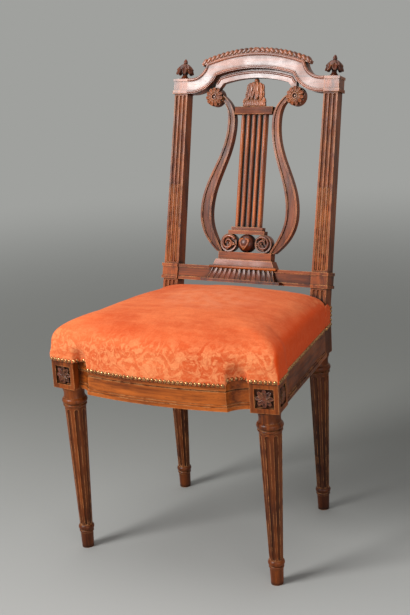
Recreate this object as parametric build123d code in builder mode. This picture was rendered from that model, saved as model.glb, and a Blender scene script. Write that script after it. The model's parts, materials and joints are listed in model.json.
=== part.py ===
from build123d import *
import os
from math import asin, atan2, cos, degrees, hypot, pi, radians, sin, sqrt

# Side chair with a lyre back, fluted legs and an overstuffed seat.
# Millimetres, Z up, the front of the chair faces -Y, origin on the floor at the middle of the box.

os.makedirs("parts", exist_ok=True)

# Seat frame
front_leg_spacing = 406.0
rear_leg_spacing = 323.0
leg_depth_spacing = 320.0
rail_bottom = 333.0
rail_top = 396.0
rake_angle = 14.3

# Clearances
joint_fit = 0.1
cloth_gap = 0.3
stuffing_gap = 2.2
nail_gap = 0.05

# Square blocks at the heads of the legs
front_block = 52.0
rear_block = 41.0
block_bottom = 332.0
panel_size = 35.0
panel_depth = 4.5
panel_drop = 37.5
petal_count = 8
petal_length = 11.0
petal_width = 5.0
petal_rise = 2.4
petal_ring_radius = 9.2
boss_radius = 5.0
boss_rise = 3.4

# Turned legs
front_shaft_radius = 20.5
rear_shaft_radius = 19.5
shaft_foot_radius = 12.5
neck_height = 22.0
neck_fillet = 4.0
neck_swell = 1.5
neck_hollow = 1.6
ring_height = 12.0
ring_overhang = 3.6
bead_height = 5.0
bead_overhang = 2.2
foot_height = 32.0
foot_tip_radius = 11.3
foot_ring_height = 11.0
foot_ring_overhang = 2.8
foot_bead_height = 5.0
foot_bead_overhang = 1.6
leg_flutes = 8
flute_radius_top = 4.4
flute_radius_foot = 2.9
flute_lift = 0.25
flute_head_drop = 9.0
flute_foot_rise = 4.0

# Seat rails
bow_reach = 52.0
bow_half_width = 141.0
bow_sweep = 12.0
return_half_width = 170.0
return_reach = 13.0
return_hollow = 5.0
front_rail_back = 13.0
rail_foot_height = 7.0
rail_foot_overhang = 2.5
rail_bead_height = 4.0
rail_bead_overhang = 1.0
rail_groove_drop = 26.0
rail_groove_height = 2.4
rail_groove_depth = 1.6
side_rail_setback = 5.0
side_rail_thickness = 26.0
rear_rail_thickness = 24.0
rear_rail_setback = 4.5

# Mortise and tenon joints of the seat
tenon_thickness = 10.0
tenon_height = 36.0
front_tenon_length = 28.0
side_tenon_length = 17.0
rear_tenon_length = 24.0
rear_tenon_shift = 2.0
tenon_root = 3.0

# Pegs
peg_radius = 3.0
peg_low_drop = 42.0
peg_high_drop = 19.0
front_peg_inset = 10.0
side_peg_inset = 6.0
rear_peg_inset = 7.5
front_peg_length = 40.0
side_peg_length = 38.0
rear_peg_length = 28.0
back_peg_inset = 9.0
back_peg_length = 20.0

# Corner blocks
corner_block_height = 32.0
corner_block_leg = 22.0
corner_block_width = 26.0
corner_block_drop = 12.0

# Raked stiles of the rear posts
stile_width_low = 33.7
stile_width_high = 29.2
stile_depth_low = 30.0
stile_depth_high = 24.5
stile_root = 16.0
stile_flutes = 3
stile_flute_radius = 3.1
stile_flute_lift = 0.7
stile_flute_pitch = 8.8
stile_flute_margin = 6.0
reed_radius = 2.35
reed_top = 262.0

# Lower back rail
lower_rail_bottom = 69.5
lower_rail_height = 31.0
lower_rail_setback = 1.0
lower_rail_thickness = 20.0
band_overhang = 2.0
band_bead_height = 6.0
band_bead_overhang = 3.5
back_tenon_thickness = 9.0
back_tenon_height = 16.0
back_tenon_length = 18.0
crest_tenon_drop = 2.0

# Crest rail
crest_bottom = 449.5
crest_band = 30.0
crest_top_bead = 5.0
crest_depth = 24.0
ogee_radius = 36.0
ogee_half_width = 143.0
arch_rise = 49.1
arch_radius = 307.0
inner_arch_height = 18.0
inner_arch_setback = 7.0
inner_arch_depth = 13.0
rope_height = 12.4
rope_depth = 17.0
rope_setback = 1.5
rope_half_width = 118.0
rope_round = 5.0

# Finials
finial_dowel_radius = 4.0
finial_dowel_length = 7.0
finial_base_radius = 9.0
finial_base_height = 3.0
finial_neck_radius = 5.5
finial_neck_height = 8.0
finial_leaf_radius = 18.0
finial_leaf_height = 21.0
finial_tip_radius = 3.6
finial_tip_height = 11.0
finial_tip_round = 2.4

# Lyre base and plinths
lyre_front = 6.5
lyre_depth = 15.0
base_fillet_height = 6.0
base_half_width = 87.0
flare_half_width = 76.0
flare_waist = 67.0
flare_proud_low = 11.0
flare_proud_high = 3.0
flare_hollow = 0.3
base_fillet_overhang = 3.0
flare_flutes = 13
flare_flute_radius = 3.2
plinth_step_height = 15.0
plinth_step_half_width = 69.0
plinth_step_proud = 9.0
plinth_top_height = 15.5
plinth_top_half_width = 58.4
plinth_top_proud = 3.5
plinth_tenon_width = 60.0
plinth_tenon_height = 14.0

# Scrolls, ball and strings
roundel_radius = 18.8
roundel_half_pitch = 38.4
roundel_flat = 0.6
roundel_proud = 2.5
scroll_eye_radius = 5.0
scroll_groove_width = 3.0
scroll_groove_depth = 2.0
string_plinth_low_height = 7.5
string_plinth_top_height = 7.0
string_plinth_low_half = 40.0
string_plinth_top_half = 34.5
string_plinth_proud = 2.0
string_count = 5
string_pitch = 12.3
string_width = 7.8
string_depth = 11.0
string_dowel_radius = 2.0
string_dowel_length = 5.0
yoke_height = 15.0
yoke_proud = 2.0
yoke_dowel_radius = 3.0
yoke_dowel_length = 7.0

# Lyre arms, as half widths from the centre line of the back
arm_waist_inner = 41.3
arm_waist_outer = 56.6
arm_waist_drop = 31.0
arm_belly_inner = 83.0
arm_belly_outer = 107.0
arm_belly_rise = 80.0
arm_foot_outer = 64.0
arm_foot_inner = 52.0
arm_head_drop = 3.0
arm_foot_slope = 0.8
arm_inner_foot_slope = 1.7
arm_head_slope = 0.4
arm_inner_head_slope = 0.6
arm_rim = 4.0
arm_hollow = 2.4
rosette_half_pitch = 89.0
rosette_radius = 19.0
rosette_drop = 6.5
rosette_base = 4.0
rosette_petals = 10
rosette_petal_radius = 4.8
rosette_petal_rise = 3.0
rosette_dowel_radius = 3.0
rosette_dowel_length = 8.0

# Leaf crown on the yoke
crown_base_half = 27.0
crown_waist_half = 20.0
crown_belly_half = 22.5
crown_neck_half = 8.0
crown_height = 57.7
crown_depth = 18.0
crown_waist_rise = 14.0
crown_belly_rise = 28.0
crown_ball_radius = 6.0

# Seat upholstery
webbing_width = 50.0
webbing_thickness = 1.5
webbing_length_count = 4
webbing_cross_count = 3
webbing_pitch = 78.0
webbing_grip = 10.0
base_cloth_thickness = 1.0
base_cloth_inset = 6.0
cover_thickness = 2.0
cover_skirt = 11.0
bow_skirt_drop = 9.0
seat_crown = 73.0
seat_centre_depth = 140.0
seat_swell = 0.008
seat_squareness = 5.5
seat_levels = (0, 0.2, 0.4, 0.57, 0.71, 0.82, 0.9, 0.96, 0.99)
return_fade = 1.3
return_least = 0.1
post_notch = 1.0
nail_head_radius = 3.9
nail_head_height = 2.6
nail_rise = 4.4
nail_pitch = 8.4
nail_shank_radius = 0.8
nail_shank_length = 6.2
nail_corner_room = 5.0

# Places worked out from the sizes above
front_x = front_leg_spacing / 2
rear_x = rear_leg_spacing / 2
splay = atan2(front_x - rear_x, leg_depth_spacing)
rake = radians(rake_angle)
front_reach = bow_reach + rail_foot_overhang
cover_reach = bow_reach + cloth_gap + cover_thickness + nail_gap + nail_head_height
front_edge = max(front_reach, cover_reach)
crest_top = crest_bottom + crest_band
arch_top = crest_top + arch_rise
rear_reach = arch_top * sin(rake) + crest_depth * cos(rake) - stile_depth_low / 2
front_y = front_edge - (leg_depth_spacing + front_edge + rear_reach) / 2
rear_y = front_y + leg_depth_spacing
bow_end_y = front_y - bow_reach + bow_sweep
back_y = rear_y - stile_depth_low / 2
stile_x = rear_x + (rear_block - stile_width_low) / 2
lower_rail_top = lower_rail_bottom + lower_rail_height
inner_arch_drop = crest_band + inner_arch_height
rosette_height = crest_bottom - rosette_drop
plinth_top = lower_rail_top + plinth_step_height + plinth_top_height
roundel_up = plinth_top + roundel_radius - roundel_flat
string_plinth_up = roundel_up + roundel_radius - roundel_flat
string_foot = string_plinth_up + string_plinth_low_height + string_plinth_top_height
yoke_top = arch_top - inner_arch_drop - crown_height
string_head = yoke_top - yoke_height
string_length = string_head - string_foot
lyre_middle = -lyre_front - lyre_depth / 2
bow_radius = (bow_half_width**2 + bow_sweep**2) / (2 * bow_sweep)
joint_z = (rail_bottom + rail_top) / 2
peg_low = rail_top - peg_low_drop
peg_high = rail_top - peg_high_drop


def back_point(across, up, forward):
    """A point of the raked back, from the middle of the post faces at the seat."""
    y = back_y + up * sin(rake) - forward * cos(rake)
    z = rail_top + up * cos(rake) + forward * sin(rake)
    return Vector(across, y, z)


def back_face(forward=0.0):
    """Plane parallel to the front of the back, X across and Y up the rake."""
    return Plane(origin=back_point(0, 0, forward), x_dir=(1, 0, 0), z_dir=(0, -cos(rake), sin(rake)))


def back_level(up):
    """Plane square to the rake, X across and Y towards the rear."""
    return Plane(origin=back_point(0, up, 0), x_dir=(1, 0, 0), z_dir=(0, sin(rake), cos(rake)))


def face_of(base, at, across, out):
    """Plane at a local point of a base plane, X along across and facing out."""
    origin = base.from_local_coords(Vector(*at))
    x_dir = base.from_local_coords(Vector(*across)) - base.origin
    z_dir = base.from_local_coords(Vector(*out)) - base.origin
    return Plane(origin=origin, x_dir=x_dir, z_dir=z_dir)


def arc_about(centre, start, end):
    """Arc shorter than a half turn from start to end around a centre."""
    radius = hypot(start[0] - centre[0], start[1] - centre[1])
    middle = (start[0] + end[0] - 2 * centre[0], start[1] + end[1] - 2 * centre[1])
    reach = radius / hypot(*middle)
    return ThreePointArc(start, (centre[0] + middle[0] * reach, centre[1] + middle[1] * reach), end)


def bulge(start, end, out):
    """Arc from start to end that swells to the right of the way by out."""
    length = hypot(end[0] - start[0], end[1] - start[1])
    side = ((end[1] - start[1]) / length * out, (start[0] - end[0]) / length * out)
    middle = ((start[0] + end[0]) / 2 + side[0], (start[1] + end[1]) / 2 + side[1])
    return ThreePointArc(start, middle, end)


def flute_tool(start, end, start_radius, end_radius):
    """Round-ended tapering rod from start to end, to cut a flute or make a reed."""
    along = Vector(*end) - Vector(*start)
    length = along.length
    with BuildPart() as tool:
        with BuildSketch(Plane(origin=start, x_dir=along, z_dir=along.cross(Vector(1, 0, 0)))):
            with BuildLine():
                slant = start_radius * sqrt(0.5)
                ThreePointArc((-start_radius, 0), (-slant, slant), (0, start_radius))
                Line((0, start_radius), (length, end_radius))
                slant = end_radius * sqrt(0.5)
                ThreePointArc((length, end_radius), (length + slant, slant), (length + end_radius, 0))
                Line((length + end_radius, 0), (-start_radius, 0))
            make_face()
        revolve(axis=Axis(start, along))
    return tool.part


# Turned legs


def turned_leg(axis_x, axis_y, facing, shaft_radius):
    """Foot, rings, tapered fluted shaft and neck, up to the square block."""
    foot_bead_top = foot_height + foot_bead_height
    foot_ring_top = foot_bead_top + foot_ring_height
    neck_foot = block_bottom - neck_height
    ring_foot = neck_foot - ring_height
    shaft_top = ring_foot - bead_height
    neck_radius = shaft_radius + neck_swell
    flute_top = shaft_top - flute_head_drop
    flute_foot = foot_ring_top + flute_foot_rise
    slope = (shaft_radius - shaft_foot_radius) / (shaft_top - foot_ring_top)
    top_reach = shaft_radius - slope * flute_head_drop + flute_lift * flute_radius_top
    foot_reach = shaft_foot_radius + slope * flute_foot_rise + flute_lift * flute_radius_foot
    tool = flute_tool((top_reach, 0, flute_top), (foot_reach, 0, flute_foot),
                      flute_radius_top, flute_radius_foot)
    with BuildPart() as leg:
        with BuildSketch(Plane(origin=(axis_x, axis_y, 0), x_dir=(1, 0, 0), z_dir=(0, -1, 0))):
            with BuildLine():
                Polyline((0, 0), (foot_tip_radius, 0), (shaft_foot_radius, foot_height))
                bulge((shaft_foot_radius, foot_height), (shaft_foot_radius, foot_bead_top),
                      foot_bead_overhang)
                bulge((shaft_foot_radius, foot_bead_top), (shaft_foot_radius, foot_ring_top),
                      foot_ring_overhang)
                Line((shaft_foot_radius, foot_ring_top), (shaft_radius, shaft_top))
                bulge((shaft_radius, shaft_top), (shaft_radius, ring_foot), bead_overhang)
                bulge((shaft_radius, ring_foot), (shaft_radius, neck_foot), ring_overhang)
                bulge((shaft_radius, neck_foot), (neck_radius, block_bottom - neck_fillet), -neck_hollow)
                Polyline((neck_radius, block_bottom - neck_fillet), (neck_radius, block_bottom),
                         (0, block_bottom), (0, 0))
            make_face()
        revolve(axis=Axis((axis_x, axis_y, 0), (0, 0, 1)))
        with Locations((axis_x, axis_y, 0)):
            with PolarLocations(0, leg_flutes, start_angle=facing):
                add(tool, mode=Mode.SUBTRACT)
    return leg.part


# Joint planes on the right-hand side of the seat frame
front_head = Plane(origin=(front_x, front_y, 0), x_dir=(cos(splay), sin(splay), 0), z_dir=(0, 0, 1))
rear_head = Plane(origin=(rear_x, rear_y, 0), x_dir=(1, 0, 0), z_dir=(0, 0, 1))
half_front = front_block / 2
half_rear = rear_block / 2
side_outer = half_front - side_rail_setback
side_middle = side_outer - side_rail_thickness / 2
rear_rail_y = rear_y + half_rear - rear_rail_setback - rear_rail_thickness / 2
side_run = (leg_depth_spacing - half_rear) / cos(splay) - side_middle * sin(splay) / cos(splay)
front_joint = face_of(front_head, (-half_front, 0, joint_z), (0, 1, 0), (-1, 0, 0))
side_joint = face_of(front_head, (side_middle, half_front, joint_z), (1, 0, 0), (0, 1, 0))
side_rear_joint = face_of(front_head, (side_middle, side_run, joint_z), (1, 0, 0), (0, -1, 0))
rear_front_face = face_of(rear_head, (0, -half_rear, joint_z), (1, 0, 0), (0, -1, 0))
rear_joint = Plane(origin=(rear_x - half_rear, rear_rail_y + rear_tenon_shift, joint_z),
                   x_dir=(0, 1, 0), z_dir=(-1, 0, 0))
front_peg = face_of(front_head, (front_peg_inset - half_front, half_front, peg_low), (1, 0, 0), (0, 1, 0))
side_peg = face_of(front_head, (-half_front, half_front - side_peg_inset, peg_high), (0, 1, 0), (-1, 0, 0))
side_rear_peg = Plane(origin=(rear_x - half_rear, rear_y - half_rear + rear_peg_inset, peg_high),
                      x_dir=(0, 1, 0), z_dir=(-1, 0, 0))
rear_peg = Plane(origin=(rear_x - half_rear + rear_peg_inset, rear_y + half_rear, peg_low),
                 x_dir=(1, 0, 0), z_dir=(0, 1, 0))


def stile_half(up):
    """Half the width of a stile at a height up the rake."""
    return (stile_width_low + (stile_width_high - stile_width_low) * up / crest_bottom) / 2


def stile_depth(up):
    """Depth of a stile at a height up the rake."""
    return stile_depth_low + (stile_depth_high - stile_depth_low) * up / crest_bottom


def stile_side(up):
    """Plane on the inner side of the right stile, X towards the front."""
    low = back_point(stile_x - stile_half(0), 0, 0)
    high = back_point(stile_x - stile_half(crest_top), crest_top, 0)
    front = back_point(0, 0, 1) - back_point(0, 0, 0)
    middle = back_point(stile_x - stile_half(up), up, -stile_depth(up) / 2)
    return Plane(origin=middle, x_dir=front, z_dir=front.cross(high - low))


lower_rail_up = lower_rail_bottom + lower_rail_height / 2
crest_up = crest_bottom + crest_band / 2 - crest_tenon_drop
lower_joint = stile_side(lower_rail_up)
crest_joint = stile_side(crest_up)


def back_peg(up):
    """Plane on the rear of the right stile where a peg goes in."""
    across = stile_x - stile_half(up) + back_peg_inset
    return Plane(origin=back_point(across, up, -stile_depth(up)), x_dir=(1, 0, 0),
                 z_dir=(0, cos(rake), -sin(rake)))


def rosette_panel(face):
    """Cut a square panel in a block's face and raise a rosette in it."""
    floor = face.offset(-panel_depth)
    with BuildSketch(face) as panel:
        Rectangle(panel_size, panel_size)
    extrude(panel.sketch, amount=-panel_depth, mode=Mode.SUBTRACT)
    with BuildSketch(floor) as petals:
        with PolarLocations(petal_ring_radius, petal_count):
            Ellipse(petal_length / 2, petal_width / 2)
    extrude(petals.sketch, amount=petal_rise)
    with BuildSketch(floor) as boss:
        Circle(boss_radius)
    extrude(boss.sketch, amount=boss_rise)


def cut_mortise(joint, thickness, height, depth):
    """Cut a mortise that gives its tenon the named clearance."""
    with BuildSketch(joint) as mortise:
        Rectangle(thickness + 2 * joint_fit, height + 2 * joint_fit)
    extrude(mortise.sketch, amount=-depth - joint_fit, mode=Mode.SUBTRACT)
    extrude(mortise.sketch, amount=tenon_root, mode=Mode.SUBTRACT)


def add_tenon(joint, thickness, height, length):
    """Grow a tenon from its joint plane, with a root in the rail behind it."""
    with BuildSketch(joint) as tenon:
        Rectangle(thickness, height)
    extrude(tenon.sketch, amount=-length)
    extrude(tenon.sketch, amount=tenon_root)


def cut_peg(face, length):
    """Bore a peg's hole from the face that it goes in by."""
    with BuildSketch(face) as bore:
        Circle(peg_radius + joint_fit)
    extrude(bore.sketch, amount=-length - joint_fit, mode=Mode.SUBTRACT)


front_turning = turned_leg(front_x, front_y, degrees(splay) - 90, front_shaft_radius)
rear_turning = turned_leg(rear_x, rear_y, -90, rear_shaft_radius)
panel_z = rail_top - panel_drop

# Front legs
with BuildPart() as front_leg_right:
    add(front_turning)
    with BuildSketch(face_of(front_head, (0, 0, block_bottom), (1, 0, 0), (0, 0, 1))):
        Rectangle(front_block, front_block)
    extrude(amount=rail_top - block_bottom)
    rosette_panel(face_of(front_head, (0, -half_front, panel_z), (1, 0, 0), (0, -1, 0)))
    rosette_panel(face_of(front_head, (half_front, 0, panel_z), (0, 1, 0), (1, 0, 0)))
    cut_mortise(front_joint, tenon_thickness, tenon_height, front_tenon_length)
    cut_mortise(side_joint, tenon_thickness, tenon_height, side_tenon_length)
    cut_peg(front_peg, front_peg_length)
    cut_peg(side_peg, side_peg_length)
front_leg_right.part.label = "front_leg_right"
export_step(front_leg_right.part, "parts/front_leg_right.step")

with BuildPart() as front_leg_left:
    mirror(front_leg_right.part, about=Plane.YZ)
front_leg_left.part.label = "front_leg_left"
export_step(front_leg_left.part, "parts/front_leg_left.step")

# Rear posts
flute_places = [stile_x + stile_flute_pitch * (n - (stile_flutes - 1) / 2) for n in range(stile_flutes)]
upper_flute_foot = lower_rail_top + stile_flute_margin
upper_flute_head = crest_bottom - stile_flute_margin
lower_flute_head = lower_rail_bottom - stile_flute_margin


def stile_rods(low, high, forward, radius):
    """One round-ended rod in the place of each flute of the right stile."""
    rods = []
    for across in flute_places:
        start = back_point(across, low, forward)
        rods.append(flute_tool(start, back_point(across, high, forward), radius, radius))
    return rods


def stile_band(low, high, overhang):
    """Moulding around the front and outer side of the right stile."""
    inner = stile_x - stile_half(high)
    outer = stile_x + stile_half(low) + overhang
    with BuildSketch(back_level(low)) as band:
        with Locations(((inner + outer) / 2, stile_depth(low) / 2)):
            Rectangle(outer - inner, stile_depth(low) + 2 * overhang)
    extrude(band.sketch, amount=high - low)


lower_flutes = stile_rods(0, lower_flute_head, stile_flute_lift, stile_flute_radius)
upper_flutes = stile_rods(upper_flute_foot, upper_flute_head, stile_flute_lift, stile_flute_radius)
reeds = stile_rods(upper_flute_foot, reed_top, -reed_radius, reed_radius)
with BuildPart() as rear_post_right:
    add(rear_turning)
    with BuildSketch(face_of(rear_head, (0, 0, block_bottom), (1, 0, 0), (0, 0, 1))):
        Rectangle(rear_block, rear_block)
    extrude(amount=rail_top - block_bottom)
    with BuildSketch(back_level(-stile_root)):
        with Locations((stile_x, stile_depth_low / 2)):
            Rectangle(stile_width_low, stile_depth_low)
    with BuildSketch(back_level(0)):
        with Locations((stile_x, stile_depth_low / 2)):
            Rectangle(stile_width_low, stile_depth_low)
    with BuildSketch(back_level(crest_top)):
        with Locations((stile_x, stile_depth(crest_top) / 2)):
            Rectangle(2 * stile_half(crest_top), stile_depth(crest_top))
    loft(ruled=True)
    add(upper_flutes, mode=Mode.SUBTRACT)
    add(lower_flutes, mode=Mode.SUBTRACT)
    add(reeds)
    stile_band(lower_rail_bottom, lower_rail_top, band_overhang)
    stile_band(lower_rail_bottom, lower_rail_bottom + band_bead_height, band_bead_overhang)
    stile_band(lower_rail_top - band_bead_height, lower_rail_top, band_bead_overhang)
    stile_band(crest_bottom, crest_top, band_overhang)
    stile_band(crest_bottom, crest_bottom + band_bead_height, band_bead_overhang)
    stile_band(crest_top - crest_top_bead, crest_top, band_bead_overhang)
    cut_mortise(side_rear_joint, tenon_thickness, tenon_height, side_tenon_length)
    cut_mortise(rear_joint, tenon_thickness, tenon_height, rear_tenon_length)
    cut_mortise(lower_joint, back_tenon_thickness, back_tenon_height, back_tenon_length)
    cut_mortise(crest_joint, back_tenon_thickness, back_tenon_height, back_tenon_length)
    cut_peg(side_rear_peg, side_peg_length)
    cut_peg(rear_peg, rear_peg_length)
    cut_peg(back_peg(lower_rail_up), back_peg_length)
    cut_peg(back_peg(crest_up), back_peg_length)
    with BuildSketch(back_level(crest_top)):
        with Locations((stile_x, stile_depth(crest_top) / 2)):
            Circle(finial_dowel_radius + joint_fit)
    extrude(amount=-finial_dowel_length - joint_fit, mode=Mode.SUBTRACT)
rear_post_right.part.label = "rear_post_right"
export_step(rear_post_right.part, "parts/rear_post_right.step")

with BuildPart() as rear_post_left:
    mirror(rear_post_right.part, about=Plane.YZ)
rear_post_left.part.label = "rear_post_left"
export_step(rear_post_left.part, "parts/rear_post_left.step")


# Seat rails


def front_rail_layer(low, high, overhang):
    """One moulding of the front rail's right half, standing out from the face by overhang."""
    end = (return_half_width + front_block, front_y - return_reach - overhang)
    back = front_y + front_rail_back
    bow_end = (bow_half_width + overhang, bow_end_y - overhang)
    bow_front = (0, front_y - bow_reach - overhang)
    bow_centre = (0, bow_front[1] + bow_radius)
    share = bow_radius / hypot(bow_end[0], bow_end[1] - bow_centre[1])
    bow_end = (bow_end[0] * share, bow_centre[1] + (bow_end[1] - bow_centre[1]) * share)
    hollow_end = (return_half_width + overhang, end[1])
    with BuildSketch(Plane.XY.offset(low)) as layer:
        with BuildLine():
            arc_about(bow_centre, bow_front, bow_end)
            bulge(bow_end, hollow_end, -return_hollow)
            Polyline(hollow_end, end, (end[0], back), (0, back), bow_front)
        make_face()
    extrude(layer.sketch, amount=high - low)


groove_top = rail_top - rail_groove_drop
groove_foot = groove_top - rail_groove_height
foot_top = rail_bottom + rail_foot_height
bead_top = foot_top + rail_bead_height
with BuildPart() as front_seat_rail:
    front_rail_layer(rail_bottom, foot_top, rail_foot_overhang)
    front_rail_layer(foot_top, bead_top, rail_bead_overhang)
    front_rail_layer(bead_top, groove_foot, 0)
    front_rail_layer(groove_foot, groove_top, -rail_groove_depth)
    front_rail_layer(groove_top, rail_top, 0)
    split(bisect_by=front_joint, keep=Keep.TOP)
    add_tenon(front_joint, tenon_thickness, tenon_height, front_tenon_length)
    cut_peg(front_peg, front_peg_length)
    mirror(about=Plane.YZ)
front_seat_rail.part.label = "front_seat_rail"
export_step(front_seat_rail.part, "parts/front_seat_rail.step")

with BuildPart() as side_seat_rail_right:
    with BuildSketch(face_of(front_head, (0, half_front, 0), (1, 0, 0), (0, -1, 0))):
        with BuildLine():
            inner = side_outer - side_rail_thickness
            Polyline((inner, rail_bottom), (side_outer + rail_foot_overhang, rail_bottom),
                     (side_outer + rail_foot_overhang, foot_top), (side_outer + rail_bead_overhang, foot_top),
                     (side_outer + rail_bead_overhang, bead_top), (side_outer, bead_top),
                     (side_outer, rail_top), (inner, rail_top), (inner, rail_bottom))
        make_face()
    extrude(amount=-leg_depth_spacing)
    split(bisect_by=rear_front_face, keep=Keep.TOP)
    add_tenon(side_joint, tenon_thickness, tenon_height, side_tenon_length)
    add_tenon(side_rear_joint, tenon_thickness, tenon_height, side_tenon_length)
    cut_peg(side_peg, side_peg_length)
    cut_peg(side_rear_peg, side_peg_length)
side_seat_rail_right.part.label = "side_seat_rail_right"
export_step(side_seat_rail_right.part, "parts/side_seat_rail_right.step")

with BuildPart() as side_seat_rail_left:
    mirror(side_seat_rail_right.part, about=Plane.YZ)
side_seat_rail_left.part.label = "side_seat_rail_left"
export_step(side_seat_rail_left.part, "parts/side_seat_rail_left.step")

rear_rail_end = rear_x - half_rear
with BuildPart() as rear_seat_rail:
    with BuildSketch(Plane.XY.offset(rail_bottom)):
        with Locations((rear_rail_end / 2, rear_rail_y)):
            Rectangle(rear_rail_end, rear_rail_thickness)
    extrude(amount=rail_top - rail_bottom)
    add_tenon(rear_joint, tenon_thickness, tenon_height, rear_tenon_length)
    cut_peg(rear_peg, rear_peg_length)
    mirror(about=Plane.YZ)
rear_seat_rail.part.label = "rear_seat_rail"
export_step(rear_seat_rail.part, "parts/rear_seat_rail.step")


# Back: crest rail, rope and finials
ogee_centre = (ogee_half_width, crest_top + ogee_radius)
arch_centre = (0, arch_top - arch_radius)
rosette_place = (rosette_half_pitch, rosette_height)


def crest_corner(drop):
    """Where ogee and arch meet, on the line that lies drop below the crest's top edge."""
    gap = hypot(ogee_centre[0] - arch_centre[0], ogee_centre[1] - arch_centre[1])
    arch_reach = arch_radius - drop
    ogee_reach = ogee_radius + drop
    along = (arch_reach**2 - ogee_reach**2 + gap**2) / (2 * gap)
    aside = sqrt(arch_reach**2 - along**2)
    way = ((ogee_centre[0] - arch_centre[0]) / gap, (ogee_centre[1] - arch_centre[1]) / gap)
    across = arch_centre[0] + along * way[0] - aside * way[1]
    return (across, arch_centre[1] + along * way[1] + aside * way[0])


def crest_slice(plane, high_drop, low_drop):
    """Right half of a strip of the crest between two lines that follow its top edge."""
    end = stile_x
    high_corner = crest_corner(high_drop)
    low_corner = crest_corner(low_drop)
    high_end = (ogee_half_width, crest_top - high_drop)
    low_end = (ogee_half_width, crest_top - low_drop)
    with BuildSketch(plane) as strip:
        with BuildLine():
            arc_about(arch_centre, (0, arch_top - high_drop), high_corner)
            arc_about(ogee_centre, high_corner, high_end)
            Polyline(high_end, (end, high_end[1]), (end, low_end[1]), low_end)
            arc_about(ogee_centre, low_end, low_corner)
            arc_about(arch_centre, low_corner, (0, arch_top - low_drop))
            Line((0, arch_top - low_drop), (0, arch_top - high_drop))
        make_face()
    return strip.sketch


crest_back = back_face(-crest_depth)
inner_arch_back = back_face(-inner_arch_setback - inner_arch_depth)
with BuildPart() as crest_rail:
    extrude(crest_slice(inner_arch_back, crest_band, inner_arch_drop), amount=inner_arch_depth)
    with BuildSketch(inner_arch_back):
        with Locations((rosette_half_pitch + stile_x / 2, rosette_height)):
            Rectangle(stile_x, arch_top - rosette_height)
        with Locations(rosette_place):
            Circle(rosette_radius + joint_fit)
    extrude(amount=inner_arch_depth, mode=Mode.SUBTRACT)
    extrude(crest_slice(crest_back, 0, crest_band), amount=crest_depth + band_overhang)
    extrude(crest_slice(crest_back, 0, crest_top_bead), amount=crest_depth + band_bead_overhang)
    extrude(crest_slice(crest_back, crest_band - band_bead_height, crest_band),
            amount=crest_depth + band_bead_overhang)
    split(bisect_by=crest_joint, keep=Keep.TOP)
    add_tenon(crest_joint, back_tenon_thickness, back_tenon_height, back_tenon_length)
    cut_peg(back_peg(crest_up), back_peg_length)
    mirror(about=Plane.YZ)
crest_rail.part.label = "crest_rail"
export_step(crest_rail.part, "parts/crest_rail.step")

rope_front = band_bead_overhang - rope_setback
rope_turn = asin(rope_half_width / arch_radius)


def arch_point(radius, turn):
    """Point on an arc about the arch's centre, at a turn from the middle."""
    return (arch_centre[0] + radius * sin(turn), arch_centre[1] + radius * cos(turn))


with BuildPart() as crest_rope:
    rope_top = arch_radius + rope_height
    with BuildSketch(back_face(rope_front - rope_depth)):
        with BuildLine():
            ThreePointArc(arch_point(rope_top, -rope_turn), arch_point(rope_top, 0),
                          arch_point(rope_top, rope_turn))
            Line(arch_point(rope_top, rope_turn), arch_point(arch_radius, rope_turn))
            ThreePointArc(arch_point(arch_radius, rope_turn), arch_point(arch_radius, 0),
                          arch_point(arch_radius, -rope_turn))
            Line(arch_point(arch_radius, -rope_turn), arch_point(rope_top, -rope_turn))
        make_face()
    extrude(amount=rope_depth)
    long_edges = crest_rope.edges().filter_by(GeomType.CIRCLE).sort_by(SortBy.RADIUS)[-2:]
    fillet(long_edges, rope_round)
crest_rope.part.label = "crest_rope"
export_step(crest_rope.part, "parts/crest_rope.step")

with BuildPart() as finial_right:
    finial_seat = back_point(stile_x, crest_top, -stile_depth(crest_top) / 2)
    rake_up = back_point(0, 1, 0) - back_point(0, 0, 0)
    leaf_foot = finial_base_height + finial_neck_height
    leaf_top = leaf_foot + finial_leaf_height
    leaf_centre = leaf_top - sqrt(finial_leaf_radius**2 - finial_tip_radius**2)
    leaf_rim = sqrt(finial_leaf_radius**2 - (leaf_centre - leaf_foot) ** 2)
    tip_end = leaf_top + finial_tip_height - finial_tip_round
    with BuildSketch(Plane(origin=finial_seat, x_dir=(1, 0, 0), z_dir=back_face().z_dir)):
        with BuildLine():
            Polyline((0, -finial_dowel_length), (finial_dowel_radius, -finial_dowel_length),
                     (finial_dowel_radius, 0), (finial_base_radius, 0),
                     (finial_base_radius, finial_base_height), (finial_neck_radius, leaf_foot),
                     (leaf_rim, leaf_foot))
            arc_about((0, leaf_centre), (leaf_rim, leaf_foot), (finial_tip_radius, leaf_top))
            Line((finial_tip_radius, leaf_top), (finial_tip_round, tip_end))
            arc_about((0, tip_end), (finial_tip_round, tip_end), (0, tip_end + finial_tip_round))
            Line((0, tip_end + finial_tip_round), (0, -finial_dowel_length))
        make_face()
    revolve(axis=Axis(finial_seat, rake_up))
finial_right.part.label = "finial_right"
export_step(finial_right.part, "parts/finial_right.step")

with BuildPart() as finial_left:
    mirror(finial_right.part, about=Plane.YZ)
finial_left.part.label = "finial_left"
export_step(finial_left.part, "parts/finial_left.step")


# Lower back rail, lyre base and plinth


def half_strip(plane, low, high, half_width):
    """Right half of a level strip of the back."""
    with BuildSketch(plane) as strip:
        with Locations((half_width / 2, (low + high) / 2)):
            Rectangle(half_width, high - low)
    return strip.sketch


def level_block(up, half_width, front, back):
    """Rectangle square to the rake, from the middle line to both sides."""
    with BuildSketch(back_level(up)) as block:
        with Locations((0, -(front + back) / 2)):
            Rectangle(2 * half_width, front - back)
    return block.sketch


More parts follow.
